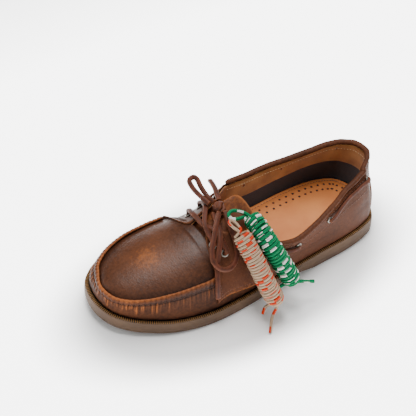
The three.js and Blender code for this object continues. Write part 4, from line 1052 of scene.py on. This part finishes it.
VAMP_STATIONS = 980
VAMP_LEVELS = 32
VAMP_FACE = -0.2
VAMP_BACK = -1.1
UNDER_QUARTER = 0.1
TUCKED_LOWER = 0.55  # share of the height that the vamp loses under the quarters
vamp_around = np.linspace(OUTER_SEAM_END - UNDER_QUARTER, INNER_SEAM_END + UNDER_QUARTER, VAMP_STATIONS)
around, height = np.meshgrid(vamp_around, np.linspace(0, 1, VAMP_LEVELS), indexing="ij")
past_seam = np.maximum(OUTER_SEAM_END - around, around - INNER_SEAM_END)
height = height * (1 - TUCKED_LOWER * smooth(past_seam, 0.04, 0.06))
gather = np.where((around > OUTER_SEAM_END) & (around < INNER_SEAM_END), pucker(around, height), 0.0)
vamp_face = side_point(around, height, gather + VAMP_FACE)
vamp_back = side_point(around, height, VAMP_BACK)
# Paler on the gathers, as pull-up leather lightens where stretched, with a painted highlight on their
# ridges; painted shade under the seam and at the sole
painted_shade_under_seam = np.exp(-((height - 0.78) / 0.03)**2) * (gather > 0)
vamp_tone_and_painted_light = 0.34 * np.minimum(gather / PUCKER_DEPTH, 1) - 0.1 - 0.25 * painted_shade_under_seam
# Painted shade in the gap at the sole
vamp_tone_and_painted_light -= 0.12 * smooth(1 - height, 0.8, 1)
vamp = shell("vamp", vamp_face, vamp_back, gathered_leather, tone_and_painted_light=vamp_tone_and_painted_light)

# The plug, an oval tongue-shaped piece set into the seam
PLUG_ROWS = 260
PLUG_COLUMNS = 90
PLUG_SPACING = 1.15
PLUG_TAIL = 0.06
PLUG_CROWN = 18.0
PLUG_FULLNESS = 0.62
PLUG_TUCK = 7.0
PLUG_FACE = 0.1
PLUG_BACK = 1.2
plug_rows = np.linspace(0.0, 1 + PLUG_TAIL, PLUG_ROWS)**PLUG_SPACING
row, share = np.meshgrid(plug_rows, np.linspace(0, 1, PLUG_COLUMNS), indexing="ij")


def plug_point(row, share, depth):
    """Point of the plug: row 0 at the toe to 1 at the throat, share 0 on the outer side to 1 inside."""
    held, past = np.minimum(row, 1.0), np.maximum(row - 1, 0)
    outer, inner = [
        side_point(TOE + (seam_end - TOE) * held, 1.0, -WALL / 2, -depth)
        for seam_end in (OUTER_SEAM_END, INNER_SEAM_END)
    ]
    point = outer + (inner - outer) * share[..., None]
    point[..., 2] += PLUG_CROWN * np.maximum(row, 1e-6)**PLUG_FULLNESS * (1 - (2 * share - 1)**2)
    point[..., 0] -= PLUG_TUCK * past / PLUG_TAIL * (1 - (2 * share - 1)**4)
    # A slight dip and fall at the throat's edge
    point[..., 2] -= 0.5 * np.exp(-((row - 1.01) / 0.034)**2) - 2.0 * past
    return point


CREASES = [
    # row at its middle, share at its middle, half length in shares, bow in rows, depth in millimetres
    (0.93, 0.44, 0.3, -0.03, 0.015), (0.86, 0.5, 0.3, -0.035, 0.02), (0.79, 0.4, 0.24, -0.02, 0.02),
]
CREASE_WIDTH = 0.016
RIPPLE_TURNS = 56
RIPPLE_DEPTH = 0.05


def plug_relief(row, share):
    """Shallow creases across the flex line, and fine short ripples beside the outer quarter."""
    depth = np.zeros_like(row)
    for at, middle, half, bow, deep in CREASES:
        across = np.clip((share - middle) / half, -1, 1)
        offset = (row - at - bow * across**2) / CREASE_WIDTH
        banks = 0.55 * np.exp(-((np.abs(offset) - 1.3) / 0.8)**2)
        depth += deep * (1 - across**2)**1.2 * (banks - np.exp(-offset**2))
    patch = np.exp(-((row - 0.82) / 0.13)**2 - ((share - 0.26) / 0.13)**2)
    wander = 2.2 * np.sin(9 * share + 5 * row) + 1.1 * np.sin(31 * share - 13 * row)
    broken = 0.6 + 0.4 * np.sin(47 * share + 23 * row)
    return depth + RIPPLE_DEPTH * patch * broken * np.sin(2 * math.pi * RIPPLE_TURNS * row + wander)


edge_share = np.minimum(share, 1 - share) * 2
plug_edge = np.exp(-edge_share * np.maximum(row, 0.05) * 14)
dimples = -0.1 * plug_edge * wave(math.pi * PUCKERS * row)
relief_height = plug_relief(row, share) + dimples
plug_top = plug_point(row, share, PLUG_FACE)
plug_top[..., 2] += relief_height
plug_under = plug_point(row, share, PLUG_BACK)
# Burnished pale in the middle; painted shade along the seam and at the throat, and painted light and shade
# on the creases and ripples
burnish_and_painted_shade = 0.25 * np.exp(-(((row - 0.62) / 0.2)**2 + ((share - 0.52) / 0.24)**2)) - 0.2 * plug_edge - 0.05
burnish_and_painted_shade += 0.1 * relief_height - 0.06 * smooth(row, 0.96, 1.01)
plug = shell("plug", plug_top[:, ::-1], plug_under[:, ::-1], vamp_leather, tone_and_painted_light=burnish_and_painted_shade[:, ::-1])
for piece in (vamp, plug):
    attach(piece, "root")
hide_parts("upper")


# Lining: golden tan suede glued inside the whole upper, with its nap out, and a dark band of sock
# lining just over the footbed. The band is coloured by the per-vertex tone value of the lower rows.
suede, tree = new_material("golden tan suede lining")
place = add(tree, "ShaderNodeTexCoord").outputs["Object"]
band = add(tree, "ShaderNodeAttribute", attribute_name="tone_and_painted_light")
sock = add(tree, "ShaderNodeMix", {
    "Factor": band.outputs["Fac"], "A": mottled(tree, place, 60.0, 6.0, "8A5628", "B67C42"),
    "B": linear("26181A"),
}, data_type="RGBA")
coat(tree, {
    "Base Color": sock.outputs["Result"], "Roughness": 0.9, "Sheen Weight": 0.25,
    "Normal": uneven(tree, place, 1300.0, 3.0, 0.4, 0.0003),
})
LINING = 0.5
LINING_STATIONS = 420
BAND_TOP = 0.47
BAND_BLUR = 0.005
lining_heights = np.concatenate([
    np.linspace(0, BAND_TOP - BAND_BLUR, 8), np.linspace(BAND_TOP + BAND_BLUR, 1, 10),
])
lining_around = np.linspace(0, 1, LINING_STATIONS, endpoint=False)
around, height = np.meshgrid(lining_around, lining_heights, indexing="ij")
lining_face = side_point(around, height, LINING - WALL)
lining_back = side_point(around, height, -WALL)
dark_band = np.where(height < BAND_TOP, 1.0, 0.0)
lining = shell("lining", lining_face, lining_back, suede, closed=True, tone_and_painted_light=dark_band)
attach(lining, "root")


# Quarters: one leather piece on each side with the eyestay, laid over the vamp and stitched to it in
# two rows. Their cut edges are rounded and rubbed, and the sides are worn into shallow soft folds.
QUARTER_LOW = 0.17
QUARTER_TUCK = 0.13
QUARTER_FOOT = 0.004
QUARTER_STATIONS = 620
QUARTER_LEVELS = 30
EDGE_ROUND = 0.45
BACK_SEAM = 0.0012
quarter_leather = leather("waxed quarter leather", "24120B", "4F2C1A", "8C5228", 0.55, shine=0.1)


def quarter_low(around, front):
    near_front = QUARTER_TUCK - np.abs(np.asarray(around) - front)
    return QUARTER_FOOT + QUARTER_LOW * smooth(near_front, 0, QUARTER_TUCK)


SOFT_FOLDS = [
    # around, height, half length along, half width up, tilt, depth: shallow troughs worn into the sides
    (0.225, 0.45, 0.03, 0.05, 1.5, 0.7), (0.255, 0.35, 0.025, 0.05, -2.0, 0.6),
    (0.16, 0.35, 0.03, 0.06, 0.8, 0.5), (0.07, 0.4, 0.02, 0.07, 0.5, 0.45),
    (0.79, 0.4, 0.03, 0.06, -1.2, 0.6), (0.85, 0.4, 0.03, 0.06, 0.9, 0.5),
    (0.93, 0.45, 0.02, 0.07, 0.6, 0.4),
]


def side_folds(around, height):
    depth = np.zeros(np.broadcast(around, height).shape)
    for spot, level, half_along, half_up, tilt, deep in SOFT_FOLDS:
        along = (around - spot) / half_along
        up = (height - level - tilt * (around - spot)) / half_up
        depth -= deep * np.exp(-along**2 - up**2)
    return depth


for side, start, end, front in (
    ("outer", BACK_SEAM, OUTER_SEAM_END, OUTER_SEAM_END),
    ("inner", INNER_SEAM_END, 1 - BACK_SEAM, INNER_SEAM_END),
):
    around, share = np.meshgrid(
        np.linspace(start, end, QUARTER_STATIONS), np.linspace(0, 1, QUARTER_LEVELS), indexing="ij",
    )
    low = quarter_low(around, front)
    height = low + (1 - low) * share
    folds = side_folds(around, height)
    rounding = EDGE_ROUND * (np.exp(-share * 40) + np.exp(-(1 - share) * 40))
    face = side_point(around, height, PROUD - rounding + folds)
    backing = side_point(around, height, FIT_GAP)
    low_edge = np.exp(-share * 26) * smooth(QUARTER_TUCK - np.abs(around - front), 0, 0.05)
    # Paler at the rubbed cut edges; darker in the folds, which is painted shade
    tone_and_painted_light = 0.2 * low_edge + 0.12 * np.exp(-(1 - share) * 22) + 0.1 * folds
    piece = shell("quarter_leather_" + side, face, backing, quarter_leather, tone_and_painted_light=tone_and_painted_light)
    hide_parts("quarter_" + side)
    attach(piece, "root")


# Moccasin seam: the vamp's cut edge stands up round the plug and is whipped to it by hand with heavy
# waxed thread, one stitch in each gather. It shows raw leather on top and swells between the stitches.
raw_edge = leather("raw cut edge of pull-up leather", "28130A", "552E18", "8E5028", 0.5,
                   grain=0.5, shine=0.12)
SEAM_STATIONS = 900
SEAM_MARGIN = 0.003
SEAM_PROFILE = [
    # height on the side, proud, lift, and how much paler or darker the leather is: the raw edge on top, with
    # a painted highlight on the crest and painted shade at its feet
    (0.8, 0.1, 0, -0.5), (0.815, 0.75, 0, -0.4), (0.86, 1.45, 0, -0.26), (0.92, 1.9, 0, -0.16),
    (0.98, 2.0, 0.1, -0.04), (1.0, 1.75, 1.1, 0.12), (1.0, 1.2, 1.9, 0.24), (1.0, 0.4, 2.2, 0.16),
    (1.0, -0.35, 1.9, -0.1), (1.0, -0.85, 1.0, -0.4), (1.0, -0.9, -0.6, -0.5), (0.9, -0.5, 0, -0.5),
]
seam_around = np.linspace(OUTER_SEAM_END + SEAM_MARGIN, INNER_SEAM_END - SEAM_MARGIN, SEAM_STATIONS)
along_seam = seam_share(seam_around)
puff = wave(2 * math.pi * PUCKERS * along_seam)**0.6 * (1 + 0.15 * np.sin(41 * along_seam))
seam_rings = np.stack([
    side_point(seam_around, level, proud + (0.36 * puff - 0.1) * (proud > 0.3),
               lift + 0.2 * puff * (lift > 0.5))
    for level, proud, lift, _ in SEAM_PROFILE
], axis=1)
seam_faces = tube_faces(SEAM_STATIONS, len(SEAM_PROFILE))
seam = mesh_piece("moccasin_seam", row_metres(seam_rings.reshape(-1, 3)), seam_faces, raw_edge)
# Paler on the raw top edge; painted highlight on the crest, on the swells and round the toe, and painted
# shade at the seam's feet
across_tone_and_painted_light = np.array([rubbed for _, _, _, rubbed in SEAM_PROFILE])
painted_light_at_toe = 0.09 * np.exp(-((along_seam - 0.52) / 0.2)**2)
give_values(seam, "tone_and_painted_light", across_tone_and_painted_light[None, :] + (0.08 * (puff - 0.6) + painted_light_at_toe)[:, None])
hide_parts("moc_seam")
seam_places = OUTER_SEAM_END + (INNER_SEAM_END - OUTER_SEAM_END) * (np.arange(PUCKERS) + 0.5) / PUCKERS
heavy_thread = plain_material(
    "heavy waxed seam thread", "34190D", {"Roughness": 0.9, "Specular IOR Level": 0.05},
)


def surface_frame(around, height, proud):
    """Points on the side with the direction along it and the direction up and out of it."""
    up = side_point(around, np.asarray(height) + 0.02) - side_point(around, np.asarray(height) - 0.02)
    along = side_point(np.asarray(around) + 0.002, height) - side_point(np.asarray(around) - 0.002, height)
    out = unit(np.cross(along, up))
    flat = outward_at(around)
    out *= np.sign(out[..., 0] * flat[..., 0] + out[..., 1] * flat[..., 1])[..., None]
    return side_point(around, height) + proud * out, unit(along), unit(up), out


SEAM_STITCH = (0.92, 1.35)  # height on the side and proud of it
SEAM_STITCH_SIZES = (3.6, 0.9, 0.8)
PLUG_STITCH = (-WALL / 2 - 0.35, 0.55)  # proud of the wall's edge and lifted over it
PLUG_STITCH_SIZES = (3.0, 1.0, 0.8)
spots, along, up, out = surface_frame(seam_places, SEAM_STITCH[0], SEAM_STITCH[1])
seam_stitches = bars_on("seam_stitches", spots, up, out, SEAM_STITCH_SIZES, heavy_thread)
inner_spots = side_point(seam_places, 1.0, *PLUG_STITCH)
inner_stitches = bars_on("plug_edge_stitches", inner_spots, along, UPWARD, PLUG_STITCH_SIZES, heavy_thread)
for piece in (seam, seam_stitches, inner_stitches):
    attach(piece, "root")


# Stitch rows: waxed machine stitches, twin rows along the quarters' lower and front edges, and single
# rows under the collar. The row through the lining is of a paler thread.
STITCH_PROUD = 0.05
STITCH_PITCH = 2.6
COLLAR_PITCH = 2.8
STITCH_FILL = 0.74
STITCH_WIDTH, STITCH_HEIGHT = 0.6, 0.45


def stitch_row(name, around, height, proud, pitch, material=thread):
    dense, _, _, out = surface_frame(around, height, proud)
    walked = walk(dense)
    count = max(2, int(walked[-1] / pitch))
    places = (np.arange(count) + 0.5) * walked[-1] / count
    spots = rows_between(places, walked, dense)
    ahead = rows_between(places + 0.4, walked, dense)
    outs = rows_between(places, walked, out)
    sizes = (pitch * STITCH_FILL, STITCH_WIDTH, STITCH_HEIGHT)
    return bars_on(name, spots, ahead - spots, outs, sizes, material)


LOW_ROW_SPAN = (0.004, 0.125)  # round the foot line, from the quarter's front
LOW_ROW_GAPS = (0.035, 0.075)  # over the quarter's lower edge
EYESTAY_SPAN = (0.24, 0.96)  # up the side
EYESTAY_GAPS = (0.0028, 0.0058)  # behind the quarter's front edge
rows = []
for side, front, direction in (("outer", OUTER_SEAM_END, -1), ("inner", INNER_SEAM_END, 1)):
    around = front + direction * np.linspace(*LOW_ROW_SPAN, 200)
    for number, gap in enumerate(LOW_ROW_GAPS):
        name = f"quarter_stitches_{side}_{number}"
        height = quarter_low(around, front) + gap
        rows.append(stitch_row(name, around, height, PROUD + STITCH_PROUD, STITCH_PITCH))
    height = np.linspace(*EYESTAY_SPAN, 120)
    for number, gap in enumerate(EYESTAY_GAPS):
        name = f"eyestay_stitches_{side}_{number}"
        around_here = np.full(len(height), front + direction * gap)
        rows.append(stitch_row(name, around_here, height, PROUD + STITCH_PROUD, STITCH_PITCH))
collar_around = np.linspace(INNER_CORNER - 1, OUTER_CORNER, 500)
pale_thread = plain_material("pale lining thread", "D8B787", {"Roughness": 0.6})
for name, level, proud, yarn in (
    ("collar_stitches", 0.93, PROUD + STITCH_PROUD, thread),
    ("lining_stitches", 0.86, -WALL - STITCH_PROUD, pale_thread),
    ("tunnel_stitches", 0.66, PROUD + STITCH_PROUD, thread),
):
    height = np.full(len(collar_around), level)
    rows.append(stitch_row(name, collar_around, height, proud, COLLAR_PITCH, yarn))
for piece in rows:
    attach(piece, "root")


# Heel patch: a leather counter patch laid over the back seam, where the two quarters meet, and sewn
# down. Its cut edges are rounded and rubbed paler.
PATCH_ENDS = (-0.038, 0.0398)
PATCH_FOOT = 0.01
PATCH_TOP = 0.52
PATCH_DROP = 0.06
PATCH_ROUND = 0.5
PATCH_STATIONS = 120
PATCH_LEVELS = 24
around, share = np.meshgrid(
    np.linspace(*PATCH_ENDS, PATCH_STATIONS), np.linspace(0, 1, PATCH_LEVELS), indexing="ij",
)
patch_top = PATCH_TOP - PATCH_DROP * smooth(np.abs(around), 0.01, PATCH_ENDS[1])
height = PATCH_FOOT + (patch_top - PATCH_FOOT) * share
from_end = np.minimum(around - PATCH_ENDS[0], PATCH_ENDS[1] - around)
rounding = PATCH_ROUND * (np.exp(-np.minimum(share, 1 - share) * 30) + np.exp(-from_end * 500))
face = side_point(around, height, PROUD + FIT_GAP + OVERLAY - rounding)
backing = side_point(around, height, PROUD + FIT_GAP)
patch = shell("heel_patch_leather", face, backing, quarter_leather, tone_and_painted_light=0.3 * rounding)
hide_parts("heel_patch")
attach(patch, "root")


# Collar roll: soft leather rolled over a padding cord along the top edge, from one corner of the
# throat round the heel to the other. It has fine cross wrinkles and tapers at both ends.
ROLL_STATIONS = 700
ROLL_SIDES = 20
ROLL_WIDTH = 5.6
ROLL_HEIGHT = 4.6
ROLL_TAPER = 0.006
roll_around = np.linspace(INNER_CORNER - 1, OUTER_CORNER, ROLL_STATIONS)
wrinkle = 0.07 * np.sin(roll_around * 610) * np.sin(roll_around * 173 + 1)
wrinkle += 0.04 * np.sin(roll_around * 1480)
from_end = np.minimum(roll_around - roll_around[0], roll_around[-1] - roll_around)
roll_size = 0.35 + 0.65 * np.sqrt(np.clip(from_end / ROLL_TAPER, 0, 1))
roll_rings = np.stack([
    side_point(roll_around, 1.0,
               PROUD / 2 - WALL / 2 + math.sin(angle) * (ROLL_WIDTH / 2 + wrinkle) * roll_size,
               FIT_GAP + ROLL_HEIGHT / 2 - math.cos(angle) * (ROLL_HEIGHT / 2 + 0.5 * wrinkle) * roll_size)
    for angle in np.linspace(0, 2 * math.pi, ROLL_SIDES, endpoint=False)
], axis=1)
roll_faces = tube_faces(ROLL_STATIONS, ROLL_SIDES)
roll = mesh_piece("collar_roll_leather", row_metres(roll_rings.reshape(-1, 3)), roll_faces, quarter_leather)
# Painted light and shade: lighter on the wrinkles' crests, darker in their hollows
give_values(roll, "tone_and_painted_light", np.repeat(0.3 * wrinkle, ROLL_SIDES))
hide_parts("collar_roll")
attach(roll, "root")


# Tongue: a single layer of the same leather with raw edges, sewn in under the plug and free at its
# top, where it bends up behind the bow.
TONGUE = np.array([
    # along, centre, half width, rise, drop
    (0.668, 0.06, 0.15, 0.825, 0.1), (0.643, 0.06, 0.16, 0.852, 0.11), (0.62, 0.055, 0.17, 0.9, 0.13),
    (0.58, 0.055, 0.19, 0.94, 0.15), (0.54, 0.06, 0.19, 0.985, 0.13), (0.51, 0.07, 0.17, 1.04, 0.1),
    (0.484, 0.08, 0.14, 1.12, 0.07),
])
TONGUE_ROWS = 60
TONGUE_COLUMNS = 40
CORNER_CUT = 2.0
RIPPLE = 0.09
steps = np.linspace(0, len(TONGUE) - 1, TONGUE_ROWS)
columns = rows_between(steps, np.arange(len(TONGUE)), TONGUE)
along, centre, half_width, rise, drop = [columns[:, k:k + 1] for k in range(5)]
across = np.linspace(-1, 1, TONGUE_COLUMNS)[None, :]
tongue_x = along * LENGTH + CORNER_CUT * np.clip((steps[:, None] - 5.3) / 0.7, 0, 1) * np.abs(across)**6
tongue_y = (centre + across * half_width) * BALL_WIDTH
tongue_z = sole_top(tongue_x) + (rise - drop * np.abs(across)**2.2) * INSTEP_RISE
tongue_z += RIPPLE * np.sin(tongue_x * 0.9 + tongue_y * 0.3)
tongue_face = np.stack([tongue_x, tongue_y, tongue_z], -1)
tongue_back = tongue_face - np.array([0, 0, WALL])
from_top = (TONGUE_ROWS - 1 - np.arange(TONGUE_ROWS))[:, None]
tongue_rub = 0.1 + 0.25 * np.abs(across)**14 + 0.25 * np.exp(-from_top / 1.5)
tongue = shell("tongue_leather", tongue_face, tongue_back, quarter_leather, tone_and_painted_light=tongue_rub)
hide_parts("tongue")
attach(tongue, "root")


# Eyelets: nickel plated rolled brass, dulled in the bore. Each is a turned ring, larger at the throat
# than on the sides, with its barrel pressed through the leather and its rim rolled over it.
nickel, tree = new_material("aged nickel plate")
place = add(tree, "ShaderNodeTexCoord").outputs["Object"]
patina = add(tree, "ShaderNodeTexNoise", {"Vector": place, "Scale": 500.0, "Detail": 3.0})
dull = add(tree, "ShaderNodeMapRange", {"Value": patina.outputs["Fac"], "To Min": 0.3, "To Max": 0.55})
coat(tree, {"Base Color": linear("8E8A82"), "Metallic": 1.0, "Roughness": dull})
EYELET_SIDES = 28
THROAT_SIZES = (7.4, 3.8)  # rim and bore
SIDE_SIZES = (6.6, 3.4)
eyelet_angles = 2 * math.pi * np.arange(EYELET_SIDES)[:, None] / EYELET_SIDES
for sizes, eyelets in ((THROAT_SIZES, THROAT_EYELETS), (SIDE_SIZES, SIDE_EYELETS)):
    outer, bore = sizes[0] / 2, sizes[1] / 2
    profile = [
        # radius, and rise over the leather, from the barrel's inner end round the rim
        (bore, -WALL - PROUD), (bore + 0.35, -WALL - PROUD), (bore + 0.35, 0.2), (outer - 0.2, 0.15),
        (outer, 0.35), (outer - 0.15, 0.75), (outer - 0.6, 1.15), ((outer + bore) / 2, 1.35),
        (bore + 0.4, 1.15), (bore + 0.05, 0.6),
    ]
    for node_name, (around, height) in eyelets.items():
        centre, along, _, out = [found[0] for found in surface_frame(np.array([around]), height, PROUD)]
        spokes = np.cos(eyelet_angles) * along + np.sin(eyelet_angles) * np.cross(out, along)
        rings = [centre + out * rise + radius * spokes for radius, rise in profile]
        faces = tube_faces(len(profile), EYELET_SIDES, closed=True)
        eyelet = mesh_piece(node_name + "_nickel", row_metres(np.vstack(rings)), faces, nickel)
        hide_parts(node_name)
        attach(eyelet, "root")
